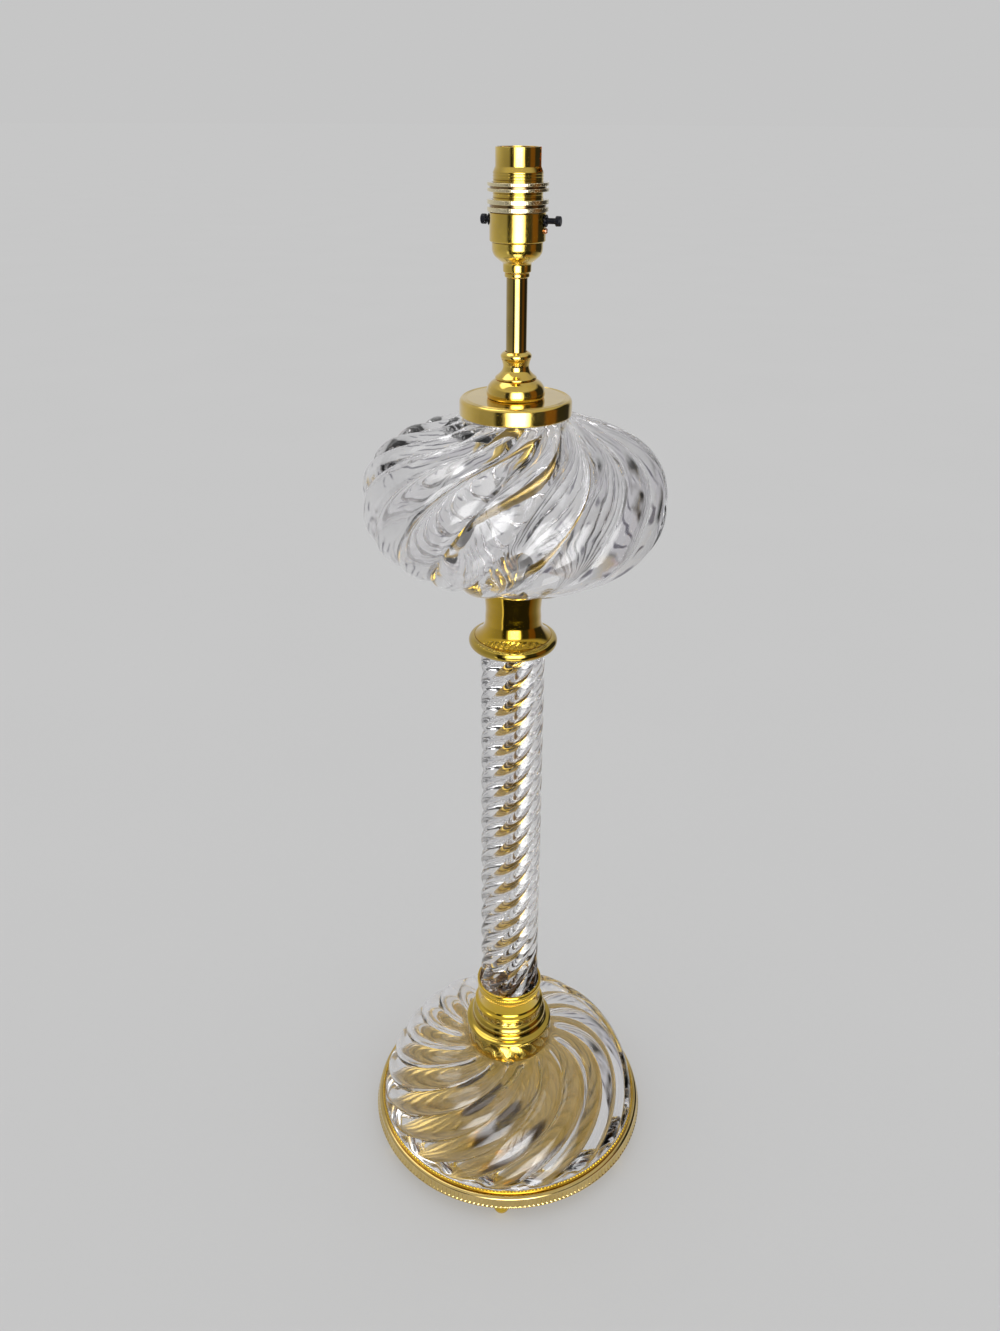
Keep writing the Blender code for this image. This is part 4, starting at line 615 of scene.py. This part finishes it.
def bowl_top(radius):
    """Upper half: a rounded crown, drawn up a little towards the neck."""
    share = np.minimum(radius / BOWL_RADIUS, 1.0)
    lift = np.clip((BOWL_NECK + NECK_LIFT_REACH - radius) / NECK_LIFT_REACH, 0.0, None)
    crown = BOWL_UPPER * (1.0 - share ** UPPER_POWER) ** (1.0 / UPPER_POWER)
    return BOWL_LOWER + crown + NECK_LIFT * lift ** 1.5


def bowl_under(radius):
    """Lower half: a rounded form that comes down to nothing at the foot."""
    share = np.minimum(radius / BOWL_RADIUS, 1.0)
    foot = (1.0 - (BOWL_FOOT / BOWL_RADIUS) ** LOWER_POWER) ** (1.0 / LOWER_POWER)
    return BOWL_LOWER - BOWL_LOWER * (1.0 - share ** LOWER_POWER) ** (1.0 / LOWER_POWER) / foot


neck_top = float(bowl_top(BOWL_NECK)) + NECK_HEIGHT
reach = np.sin(np.linspace(0.0, 0.5 * np.pi, 76))
upper = BOWL_NECK + (BOWL_RADIUS - BOWL_NECK) * reach
lower = BOWL_FOOT + (BOWL_RADIUS - BOWL_FOOT) * reach[::-1][1:]
outside = np.vstack([np.column_stack([upper, bowl_top(upper)]),
                     np.column_stack([lower, bowl_under(lower)])])
belly = BOWL_RADIUS - (BOWL_WALL + BELLY_EXTRA)
inner_reach = np.sin(np.linspace(0.0, 0.5 * np.pi, 34))
inner_neck = BOWL_NECK - BOWL_WALL
inner_low = INNER_FOOT + (belly - INNER_FOOT) * inner_reach
inner_high = inner_neck + (belly - inner_neck) * inner_reach[::-1][1:]
share = belly / BOWL_RADIUS
inside = np.vstack([
    np.column_stack([inner_low, np.maximum(bowl_under(inner_low / share), 0.0) * share
                     + BOWL_LOWER * (1.0 - share)]),
    np.column_stack([inner_high, BOWL_LOWER + (bowl_top(inner_high / share) - BOWL_LOWER) * share])])
inside[:, 1] = np.maximum(inside[:, 1], BOWL_WALL)
neck_outer = outline((BOWL_NECK - NECK_BEVEL, neck_top, 0.0), (BOWL_NECK, neck_top - NECK_BEVEL, 0.0),
                     (BOWL_NECK, neck_top - 0.5 * NECK_HEIGHT, 0.0))
closing = np.array([(INNER_FOOT, 0.0), (BOWL_HOLE, 0.0), (BOWL_HOLE, BOWL_WALL)])
neck_inner = np.array([(inner_neck, neck_top - NECK_BEVEL), (inner_neck + NECK_BEVEL, neck_top)])
line = np.vstack([neck_outer, outside, closing, inside, neck_inner])
travelled = arc_length(outside)
mid = 0.5 * (outside[1:, 0] + outside[:-1, 0])
swing = np.concatenate([[0.0], np.cumsum(-BOWL_SWIRL * np.diff(travelled) / mid)])
fade = np.where(outside[:, 1] > BOWL_LOWER,
                eased(outside[:, 0], BOWL_NECK, BOWL_NECK + BOWL_LOBE_FADE),
                eased(outside[:, 0], BOWL_FOOT, BOWL_FOOT + BOWL_LOBE_FADE))
head, tail = len(neck_outer), len(closing) + len(inside) + len(neck_inner)
turn = np.concatenate([np.zeros(head), swing, np.full(tail, swing[-1])])
turn[head + len(outside) + len(closing):] = np.linspace(swing[-1], 0.0, len(inside) + len(neck_inner))
under = np.clip((BOWL_LOWER - outside[:, 1]) / BOWL_LOWER, 0.0, 1.0)
lobe_depth = (BOWL_LOBE_DEPTH - BOWL_LOBE_LOSS * under) * fade
depth = np.concatenate([np.zeros(head), lobe_depth, np.zeros(tail)])
rows = lobed(line, turn, depth, LOBES, LOBE_STEPS, foot_of("reservoir_glass"))
dress(skin("swirled_bowl", rows[::-1], True), crystal("bowl_crystal", ripple=0.10), "reservoir_glass")

# Brass above the bowl: a spun cup over its neck with two fine lines turned in the
# top, a dome over the clamping nut, an ogee neck, a small collar and the plain stem.
CUP_TOP, CUP_UNDERSIDE = 10.2, 8.2
LINE_RADII, LINE_SIZE = (31.6, 30.3), 0.3
NECK_BORE = 6.6
STEM_RADIUS = 6.2
cup_brass = brass("spun_cup_brass", deep=(0.72, 0.48, 0.06), bright=(0.88, 0.62, 0.12), gloss=0.07,
                  haze=0.16)
ring_lines = [(radius + aside, CUP_TOP - sunk, 0.1) for radius in LINE_RADII
              for aside, sunk in ((LINE_SIZE, 0.0), (0.0, LINE_SIZE), (-LINE_SIZE, 0.0))]
cup_edge = spline([(34.4, 7.4), (34.2, 8.5), (33.6, 9.5), (32.7, 10.1), (32.1, 10.2)], 20)
cup_line = outline((34.0, 0.0, 0.2), (34.4, 0.6, 0.3), cup_edge, *ring_lines, (ROD_HOLE, CUP_TOP, 0.2),
                   (ROD_HOLE, CUP_UNDERSIDE, 0.2), (32.8, CUP_UNDERSIDE, 0.4), (32.8, 0.0, 0.2))
brassware("neck_cup", cup_line, 216, cup_brass, "reservoir_cap")
dome_side = spline([(17.1, 0.0), (17.6, 1.0), (17.8, 2.6), (17.5, 4.8), (16.6, 6.9), (15.0, 8.8),
                    (13.4, 10.0), (12.4, 10.6)], 36)
dome_line = outline(dome_side, (ROD_HOLE, 10.6, 0.2), (ROD_HOLE, 8.2, 0.2), (13.0, 8.2, 1.0),
                    (14.9, 0.0, 0.4))
brassware("nut_dome", dome_line, 168, cup_brass, "reservoir_dome")
ogee = spline([(12.5, 0.0), (12.6, 0.5), (12.2, 1.2), (10.8, 2.3), (9.5, 3.5), (8.55, 4.7), (8.1, 5.8),
               (7.9, 7.0), (8.0, 8.2), (8.3, 9.4), (8.6, 10.5), (8.9, 11.4)], 44)
neck_line = outline(ogee, (NECK_BORE, 11.4, 0.2), (NECK_BORE, 0.0, 0.2))
brassware("ogee_neck", neck_line, 144, cup_brass, "reservoir_neck")
lip = spline([(9.0, 0.0), (9.25, 0.7), (9.35, 1.4), (9.2, 2.2), (8.6, 3.0), (7.7, 3.7), (7.0, 4.1)], 24)
lip_line = outline(lip, (NECK_BORE, 4.1, 0.1), (NECK_BORE, 0.0, 0.1))
brassware("stem_lip", lip_line, 120, cup_brass, "stem_collar")
tall = height_of("stem_tube")
stem_side = spline([(STEM_RADIUS, 2.0), (STEM_RADIUS, tall - 2.0)], 16)
stem_line = outline((STEM_RADIUS, 0.0, 0.2), stem_side, (STEM_RADIUS, tall, 0.3), (ROD_HOLE, tall, 0.2),
                    (ROD_HOLE, 0.0, 0.2))
stem_brass = brass("stem_brass", deep=(0.34, 0.23, 0.03), bright=(0.48, 0.34, 0.07), gloss=0.04,
                   haze=0.09)
brassware("plain_stem", stem_line, 96, stem_brass, "stem_tube")

# Lampholder shells, drawn from thin brass sheet: the lock ring, the bowl-shaped cap
# with its neck, and the straight body that holds the switch.
CAP_RADIUS, CAP_INSIDE, CAP_HEIGHT = 14.7, 13.7, 16.2
holder_brass = brass("drawn_brass", deep=(0.68, 0.46, 0.06), bright=(0.88, 0.63, 0.10), gloss=0.09,
                     haze=0.18, marks=0.2)
lock_line = outline((6.9, 0.0, 0.2), (7.3, 0.5, 0.2), (7.3, 2.0, 0.2), (6.9, 2.5, 0.2),
                    (ROD_HOLE, 2.5, 0.2), (ROD_HOLE, 0.0, 0.2))
brassware("lock_ring", lock_line, 96, holder_brass, "nipple_nut")
bowl_side = spline([(8.3, 4.5), (8.8, 5.2), (10.4, 6.3), (11.9, 7.5), (13.1, 8.6), (13.9, 9.8),
                    (14.4, 11.1), (14.65, 12.6), (CAP_RADIUS, 14.0)], 36)
cap_line = outline((7.9, 0.0, 0.2), (8.2, 0.5, 0.2), (8.3, 3.6, 0.2), bowl_side,
                   (CAP_RADIUS, CAP_HEIGHT, 0.3), (CAP_INSIDE, CAP_HEIGHT, 0.2), (CAP_INSIDE, 11.8, 0.6),
                   (8.9, 9.3, 0.6), (ROD_HOLE, 4.7, 0.3), (ROD_HOLE, 0.0, 0.2))
brassware("holder_bowl", cap_line, 144, holder_brass, "holder_cap")


def bored(piece, *cutters):
    """The piece less each cutting shape, which is then thrown away."""
    for cutter in cutters:
        modifier = piece.modifiers.new(cutter.name, "BOOLEAN")
        modifier.operation = "DIFFERENCE"
        modifier.solver = "EXACT"
        modifier.object = cutter
    bpy.context.view_layer.update()
    finished = bpy.data.meshes.new_from_object(piece.evaluated_get(bpy.context.evaluated_depsgraph_get()))
    piece.modifiers.clear()
    piece.data = finished
    for cutter in cutters:
        bpy.data.objects.remove(cutter)
    smooth(finished)
    return piece


def along_x(piece, height):
    """Turns a piece made round Z so that it lies round X, at a height."""
    quarter = Matrix.Rotation(math.radians(90.0), 4, "Y")
    piece.data.transform(Matrix.Translation((0.0, 0.0, height * MM)) @ quarter)
    return piece


def drill(name, start, end, radius, around, height):
    """Plain round cutter that lies along X, at a height."""
    line = np.array([(0.0, start), (radius, start), (radius, end), (0.0, end)])
    return along_x(turned(name, line, around), height)


def middle_of(solid):
    """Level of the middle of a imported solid, in millimetres."""
    low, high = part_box(solid)
    return 0.5 * (low[2] + high[2]) / MM


SHELL_RADIUS, SHELL_INSIDE, SHELL_HEIGHT = 16.1, 15.1, 15.5
BAR_LEVEL = middle_of("switch_push_bar")
SCREW_LEVEL = middle_of("earth_screw")
BAR_HOLE, SCREW_HOLE = 2.9, 1.2
rounded = SHELL_RADIUS - 0.4
body_line = outline((rounded, 0.0, 0.2), (SHELL_RADIUS, 0.5, 0.3), (SHELL_RADIUS, SHELL_HEIGHT - 0.5, 0.3),
                    (rounded, SHELL_HEIGHT, 0.2), (SHELL_INSIDE, SHELL_HEIGHT, 0.2),
                    (SHELL_INSIDE, 0.0, 0.2))
bar_hole = drill("bar_hole", -20.0, 20.0, BAR_HOLE, 32, BAR_LEVEL)
screw_hole = drill("screw_hole", 10.0, 20.0, SCREW_HOLE, 24, SCREW_LEVEL)
shell = bored(turned("holder_shell", body_line, 144, foot_of("holder_body")), bar_hole, screw_hole)
dress(shell, holder_brass, "holder_body")

# Small copper-coloured screw with a slotted head, the earth terminal in the shell's
# side under the switch's right bush.
copper = brass("copper_screw", deep=(0.60, 0.26, 0.15), bright=(0.74, 0.38, 0.24), gloss=0.16, haze=0.3)
screw_line = outline((0.0, SHELL_INSIDE, 0.0), (0.9, SHELL_INSIDE, 0.1), (0.9, 16.4, 0.1),
                     (1.6, 16.4, 0.15),
                     spline([(1.6, 16.7), (1.5, 17.2), (1.0, 17.6), (0.0, 17.7)], 14))
screw = turned("slotted_screw", screw_line, 48)
slot_box = np.array([(x, y, z) for x in (-0.22, 0.22) for y in (-2.0, 2.0) for z in (17.2, 18.2)])
slot_faces = [[0, 1, 3, 2], [4, 6, 7, 5], [0, 4, 5, 1], [2, 3, 7, 6], [0, 2, 6, 4], [1, 5, 7, 3]]
screw = along_x(bored(screw, mesh_piece("screw_slot", slot_box, slot_faces)), SCREW_LEVEL)
dress(screw, copper, "earth_screw")

# Switch in the shell: a black push bar with a knob on each end, running in two black
# bushes. The moulded block inside holds the two blades that its brass disc bridges.
KNOB_RADIUS, BAR_RADIUS, SNAP_RADIUS = 2.75, 1.6, 1.0
LEFT_END, LEFT_NECK = -21.7, -18.8
RIGHT_NECK, RIGHT_END = 22.5, 25.4
SNAP_FROM, SNAP_TO = 1.05, 2.65
bar_line = outline((0.0, LEFT_END, 0.0), (KNOB_RADIUS, LEFT_END, 0.7), (KNOB_RADIUS, LEFT_NECK, 0.4),
                   (BAR_RADIUS, LEFT_NECK, 0.2), (BAR_RADIUS, SNAP_FROM, 0.1), (SNAP_RADIUS, SNAP_FROM, 0.1),
                   (SNAP_RADIUS, SNAP_TO, 0.1), (BAR_RADIUS, SNAP_TO, 0.1), (BAR_RADIUS, RIGHT_NECK, 0.2),
                   (KNOB_RADIUS, RIGHT_NECK, 0.4), (KNOB_RADIUS, RIGHT_END, 0.7), (0.0, RIGHT_END, 0.0))
push_bar = along_x(turned("push_bar", bar_line, 64), BAR_LEVEL)
dress(push_bar, bakelite, "switch_push_bar", "push_bar")
bush_line = outline((2.6, 15.0, 0.1), (2.6, 16.4, 0.1), (3.3, 16.4, 0.2), (3.3, 17.2, 0.3), (1.9, 17.2, 0.1),
                    (1.9, 15.0, 0.1))
for side, line in (("right", bush_line), ("left", (bush_line * (1.0, -1.0))[::-1])):
    bush = along_x(turned(f"{side}_bush", line, 64), BAR_LEVEL)
    dress(bush, bakelite, f"switch_bush_{side}")
contact_brass = brass("contact_brass", gloss=0.14, haze=0.3)
repaint(contact_brass, "lacquered_brass", "switch_disc", "switch_blade_1", "switch_blade_2",
        "terminal_screw_1", "terminal_screw_2")

# Sleeve that takes the bulb: drawn brass with a rolled thread outside, and two hooked
# slots for the bulb's pins.
THREAD_RADIUS, THREAD_PITCH, THREAD_DEPTH = 14.25, 1.5, 0.22
THREAD_FROM, THREAD_TO, THREAD_STEPS = 0.6, 20.9, 6
SLEEVE_NECK, SLEEVE_INSIDE, SLEEVE_HEIGHT = 12.9, 11.6, 34.1
SLOT_NEAR, SLOT_FAR = 9.6, 16.0
SLOT_HALF, HOOK_REACH = 1.3, 5.7
SLOT_DEPTH, HOOK_DEPTH = 11.0, 12.4
SIDES = ((1, -1.0), (2, 1.0))
climb = np.arange(THREAD_FROM, THREAD_TO, THREAD_PITCH / THREAD_STEPS)
sunk = THREAD_DEPTH * (0.5 - 0.5 * np.cos(ROUND * climb / THREAD_PITCH))
thread = np.column_stack([THREAD_RADIUS - sunk, climb])
skirt_line = outline((THREAD_RADIUS, 0.0, 0.1), thread, (14.2, 21.4, 0.3), (SLEEVE_NECK, 24.4, 0.7),
                     spline([(SLEEVE_NECK, 25.6), (SLEEVE_NECK, 33.2)], 6),
                     (SLEEVE_NECK, SLEEVE_HEIGHT, 0.25), (SLEEVE_INSIDE, SLEEVE_HEIGHT, 0.25),
                     (SLEEVE_INSIDE, 0.0, 0.2))
skirt_foot = foot_of("holder_skirt")
sleeve_top = skirt_foot + SLEEVE_HEIGHT
legs = (((-SLOT_HALF, SLOT_HALF), (sleeve_top - SLOT_DEPTH, sleeve_top + 2.0)),
        ((-HOOK_REACH, SLOT_HALF), (sleeve_top - HOOK_DEPTH, sleeve_top - HOOK_DEPTH + 2.0 * SLOT_HALF)))
cutters = []
for number, side in SIDES:
    for part, (across, tall) in enumerate(legs):
        corners = np.array([(side * x, side * y, z) for x in (SLOT_NEAR, SLOT_FAR) for y in across
                            for z in tall])
        cutters.append(mesh_piece(f"slot_{number}_{part}", corners, slot_faces))
skirt = bored(turned("threaded_sleeve", skirt_line, 144, skirt_foot), *cutters)
dress(skirt, holder_brass, "holder_skirt")

# Two shade rings that screw along the sleeve and grip a shade's carrier. Each is two
# milled flanges with a groove between them, for the fingers.
RING_RADIUS, RING_WAIST, RING_BORE = 17.3, 16.0, 14.55
RING_GROOVE_SHADE_RADIUS = 16.6
GROOVE_SHARE = 0.24
KNURLS, KNURL_STEPS, KNURL_DEPTH = 120, 6, 0.03
knurl = 0.5 - 0.5 * np.cos(KNURLS * steps_round(KNURLS * KNURL_STEPS))
# Nearer the axis than the flanges the ring is dark brown: painted shade in the groove and round the bore.
ring_brass = brass("shade_ring_brass", deep=(0.93, 0.80, 0.48), bright=(0.98, 0.90, 0.62), gloss=0.22,
                   haze=0.32, unpolished_or_shade_radius=RING_GROOVE_SHADE_RADIUS, unpolished_or_shade_colour=(0.30, 0.18, 0.05))
for name, tall, body in (("shade_ring_lower", 6.3, "ring_lower"), ("shade_ring_upper", 4.7, "ring_upper")):
    groove = GROOVE_SHARE * tall
    lower_edge = 0.5 * (tall - groove)
    upper_edge = lower_edge + groove
    ring_line = outline((RING_RADIUS, 0.0, 0.4), (RING_RADIUS, lower_edge, 0.4),
                        (RING_WAIST, lower_edge, 0.2), (RING_WAIST, upper_edge, 0.2),
                        (RING_RADIUS, upper_edge, 0.4), (RING_RADIUS, tall, 0.4), (RING_BORE, tall, 0.3),
                        (RING_BORE, 0.0, 0.3))
    cut = KNURL_DEPTH * (ring_line[:, :1] > RING_RADIUS - 0.05) * knurl
    dress(carved(f"milled_{name}", ring_line, name, cut), ring_brass, name, body=body)

# Off-white insulator in the sleeve with its two sprung brass contacts, which the
# bulb's cap presses down.
CONTACT_OFFSET = 5.2
CONTACT_HOLE, HOLE_FLOOR = 2.7, 2.0
INSULATOR_RADIUS, INSULATOR_HEIGHT = 11.2, 15.1
chalky = moulded("white_insulator", (0.74, 0.73, 0.68), (0.84, 0.83, 0.78), 0.32, 0.5)
insulator_line = outline((0.0, 0.0, 0.0), (INSULATOR_RADIUS, 0.0, 0.3),
                         (INSULATOR_RADIUS, INSULATOR_HEIGHT, 0.7), (0.0, INSULATOR_HEIGHT, 0.0))
insulator_foot = foot_of("contact_insulator")
hole_line = np.array([(0.0, HOLE_FLOOR), (CONTACT_HOLE, HOLE_FLOOR), (CONTACT_HOLE, 20.0), (0.0, 20.0)])
holes = [turned(f"hole_{number}", hole_line, 32, insulator_foot, (0.0, side * CONTACT_OFFSET))
         for number, side in SIDES]
insulator = bored(turned("pierced_insulator", insulator_line, 96, insulator_foot), *holes)
dress(insulator, chalky, "contact_insulator")
plunger_line = outline((0.0, 0.0, 0.0), (0.9, 0.0, 0.15), (0.9, 3.0, 0.1), (2.3, 3.0, 0.2), (2.3, 12.4, 0.1),
                       spline([(2.2, 12.7), (1.9, 13.2), (1.2, 13.4), (0.0, 13.4)], 12))
for number, side in SIDES:
    name = f"contact_plunger_{number}"
    spot = (0.0, side * CONTACT_OFFSET)
    plunger = turned(f"sprung_contact_{number}", plunger_line, 48, foot_of(name), spot)
    dress(plunger, contact_brass, name, body=f"plunger_{number}")

# Coil spring round each plunger's stem, wound from plated steel wire. It stands on the
# floor of the hole.
WIRE_RADIUS, COIL_RADIUS, COIL_TURNS = 0.25, 1.8, 4
STEPS_ROUND_COIL, STEPS_ROUND_WIRE = 24, 10
WIRE_TAPER = 40.0
share = np.linspace(0.0, 1.0, COIL_TURNS * STEPS_ROUND_COIL + 1)[:, None]
wound = ROUND * COIL_TURNS * share
thick = WIRE_RADIUS * np.sqrt(np.clip(WIRE_TAPER * np.minimum(share, 1.0 - share), 0.0, 1.0))
angle = steps_round(STEPS_ROUND_WIRE)
reach = COIL_RADIUS + thick * np.cos(angle)
for number, side in SIDES:
    low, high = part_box(f"contact_spring_{number}")
    length = (high[2] - low[2]) / MM
    aside = side * CONTACT_OFFSET
    rise = low[2] / MM + WIRE_RADIUS + (length - 2.0 * WIRE_RADIUS) * share
    rows = np.stack([reach * np.cos(wound), aside + reach * np.sin(wound), rise - thick * np.sin(angle)],
                    axis=-1)
    spring = skin(f"plunger_spring_{number}", rows, False)
    dress(spring, zinc, f"contact_spring_{number}")
    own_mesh(spring)

# Studio floor: a plain pale sheet that runs out of sight and glows a little. Mirrored
# and bent rays that meet it far from the lamp go through, to the light below it.
FLOOR_REACH, FLOOR_THICKNESS, FLOOR_GAP = 60000.0, 20.0, 0.05
PAPER_DARK, PAPER_PALE, PAPER_GLOW = 0.735, 0.75, 0.566
SHEET_FADES, SHEET_GONE = 0.31, 0.35


def grey(level):
    """Colour without any hue."""
    return (level, level, level)


def mixed_light(tree, amount, first, second):
    """One shader made from two."""
    return node(tree, "MixShader", {"Fac": amount, 1: first, 2: second}).outputs["Shader"]


floor_line = np.array([(0.0, -FLOOR_THICKNESS), (FLOOR_REACH, -FLOOR_THICKNESS)]
                      + [(out, -FLOOR_GAP) for out in (FLOOR_REACH, 3000.0, 300.0, 0.0)])
floor = turned("studio_floor", floor_line, 96)
paper, tree, shader, where = new_finish("pale_paper")
fibres = drift(tree, where, 3.0, 3.0)
feed(shader, {"Base Color": shades(tree, fibres, (0.3, *grey(PAPER_DARK)), (0.7, *grey(PAPER_PALE))),
              "Roughness": 1.0, "Specular IOR Level": 0.0})
far = node(tree, "VectorMath", {0: where}, operation="LENGTH").outputs["Value"]
path_kind = node(tree, "LightPath").outputs
mirrored = combined(tree, "MAXIMUM", path_kind["Is Glossy Ray"], path_kind["Is Transmission Ray"])
beyond = combined(tree, "MULTIPLY", spread(tree, far, 0.0, 1.0, SHEET_FADES, SHEET_GONE), mirrored)
through = node(tree, "BsdfTransparent").outputs["BSDF"]
glow = node(tree, "Emission", {"Color": (*grey(PAPER_GLOW), 1.0)}).outputs["Emission"]
sheet = mixed_light(tree, beyond, mixed_light(tree, 0.5, shader.outputs["BSDF"], glow), through)
feed(tree.nodes["Material Output"], {"Surface": sheet})
floor.data.materials.append(paper)
floor.visible_shadow = False
floor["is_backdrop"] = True

# Soft light painted round the lamp as a light tent gives it, in five rings from low to
# overhead. Rays bent by the glass see it with seams and patches, as cloth has.
VIEW_TURN = math.radians(19.0)
TENT_BRIGHTNESS = 8.0
world = bpy.data.worlds.new("light_tent")
world.use_nodes = True
world.cycles.sampling_method = "NONE"
bpy.context.scene.world = world
tree = world.node_tree
direction = node(tree, "TexCoord").outputs["Generated"]
facing = node(tree, "Mapping", {"Vector": direction, "Rotation": (0.0, 0.0, -VIEW_TURN)},
              vector_type="POINT").outputs["Vector"]
parts = node(tree, "SeparateXYZ", {"Vector": facing}).outputs
nearer = combined(tree, "MULTIPLY", parts["Y"], -1.0)
around = spread(tree, combined(tree, "ARCTAN2", parts["X"], nearer), 0.0, 1.0, -math.pi, math.pi)


def tent_ring(*stops):
    """Light round the lamp at one height: (degrees to the right of the camera, level)
    or (degrees, red, green, blue), behind the lamp at both ends."""
    placed = []
    for degrees, *light in stops:
        colour = light if len(light) == 3 else light * 3
        placed.append((degrees / 360.0 + 0.5, *[value / TENT_BRIGHTNESS for value in colour]))
    return shades(tree, around, *placed)


zenith = tent_ring((-180, 0.52), (-150, 0.52), (-140, 2.2), (-85, 2.2), (-70, 0.55), (90, 0.55), (180, 0.52))
ceiling = tent_ring((-180, 0.37), (-120, 0.52), (-60, 0.62), (0, 0.68), (40, 0.56), (90, 0.54), (180, 0.37))
level = tent_ring((-180, 0.60), (-120, 0.52), (-75, 0.36), (-46, 0.32), (-38, 0.03), (-28, 0.04),
                  (-21, 0.7), (-16, 4.0), (-8, 8.0), (16, 8.0), (24, 4.0), (31, 0.3), (36, 0.04),
                  (58, 0.05), (64, 0.20, 0.10, 0.03), (86, 0.18, 0.09, 0.03), (92, 0.03), (132, 0.03),
                  (144, 0.45), (180, 0.60))
dip = tent_ring((-180, 0.62), (-120, 0.52), (-70, 0.42), (-49, 0.38), (-46, 1.3), (-43, 1.1), (-41, 0.02),
                (66, 0.02), (72, 0.16, 0.09, 0.03), (104, 0.2), (130, 0.46), (180, 0.62))
low = tent_ring((-180, 0.60), (-120, 0.50), (-60, 0.42), (-34, 0.26), (-30, 0.03), (-23, 0.03),
                (-19, 2.6), (20, 2.6), (26, 0.03), (42, 0.03), (50, 0.34, 0.20, 0.08),
                (90, 0.40, 0.30, 0.16), (130, 0.45), (180, 0.60))
tent = low
for higher, start, end in ((dip, -0.66, -0.60), (level, -0.33, -0.27), (ceiling, 0.46, 0.60),
                           (zenith, 0.74, 0.80)):
    lifted = spread(tree, parts["Z"], 0.0, 1.0, start, end)
    tent = mixed(tree, lifted, tent, higher)
path_kind = node(tree, "LightPath").outputs
seams = node(tree, "TexWave", {"Vector": facing, "Scale": 1.9, "Distortion": 3.0, "Detail": 2.0,
                               "Detail Scale": 1.4}, bands_direction="Z").outputs["Fac"]
folds = spread(tree, drift(tree, facing, 2.2, 1.0), 0.5, 0.0, 0.42, 0.56)
seams = shades(tree, combined(tree, "ADD", seams, folds), (0.05, 0.30, 0.29, 0.33), (0.26, *grey(1.0)))
patchy = shades(tree, drift(tree, facing, 2.2, 2.0), (0.37, 0.003, 0.002, 0.001),
                (0.41, 0.022, 0.021, 0.020), (0.52, 0.060, 0.059, 0.061))
sides = shades(tree, around, (0.27, *grey(1.0)), (0.33, *grey(0.0)), (0.67, *grey(0.0)), (0.74, *grey(1.0)))
glass_tent = mixed(tree, sides, tent, patchy, "LIGHTEN")
glass_tent = mixed(tree, 1.0, glass_tent, seams, "MULTIPLY")
tent = mixed(tree, path_kind["Is Transmission Ray"], tent, glass_tent)
painted = feed(tree.nodes["Background"], {"Color": tent, "Strength": TENT_BRIGHTNESS})
light = painted.outputs["Background"]
for kind, plain_level in (("Is Diffuse Ray", 0.775), ("Is Camera Ray", 0.565)):
    plain = node(tree, "Background", {"Color": (*grey(plain_level), 1.0)}).outputs["Background"]
    light = mixed_light(tree, path_kind[kind], light, plain)
feed(tree.nodes["World Output"], {"Surface": light})

# Camera at the photograph's place, just above the lamp's top and looking down. Then how
# the picture is made, and the box of the lamp as it is shown.
EYE_DISTANCE, EYE_HEIGHT, EYE_SHIFT = 0.650, 0.766, -0.0087
EYE_TILT, EYE_ROLL = 27.55, 0.29
FOCAL_PIXELS, PICTURE_HEIGHT = 1070.0, 1331.0
lens = bpy.data.cameras.new("studio_camera")
lens.sensor_fit = "VERTICAL"
lens.sensor_height = 36.0
lens.lens = lens.sensor_height * FOCAL_PIXELS / PICTURE_HEIGHT
lens.clip_end = 500.0
camera = bpy.data.objects.new("studio_camera", lens)
bpy.context.scene.collection.objects.link(camera)
cosine, sine = math.cos(VIEW_TURN), math.sin(VIEW_TURN)
place = (EYE_DISTANCE * sine + EYE_SHIFT * cosine, -EYE_DISTANCE * cosine + EYE_SHIFT * sine, EYE_HEIGHT)
camera.matrix_world = (Matrix.Translation(place) @ Matrix.Rotation(VIEW_TURN, 4, "Z")
                       @ Matrix.Rotation(math.radians(90.0 - EYE_TILT), 4, "X")
                       @ Matrix.Rotation(math.radians(EYE_ROLL), 4, "Z"))
bpy.context.scene.camera = camera

scene = bpy.context.scene
scene.view_settings.view_transform = "Standard"
scene.view_settings.look = "None"
scene.cycles.max_bounces = 24
scene.cycles.transmission_bounces = 20
scene.cycles.glossy_bounces = 10
scene.cycles.diffuse_bounces = 3

low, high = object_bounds()
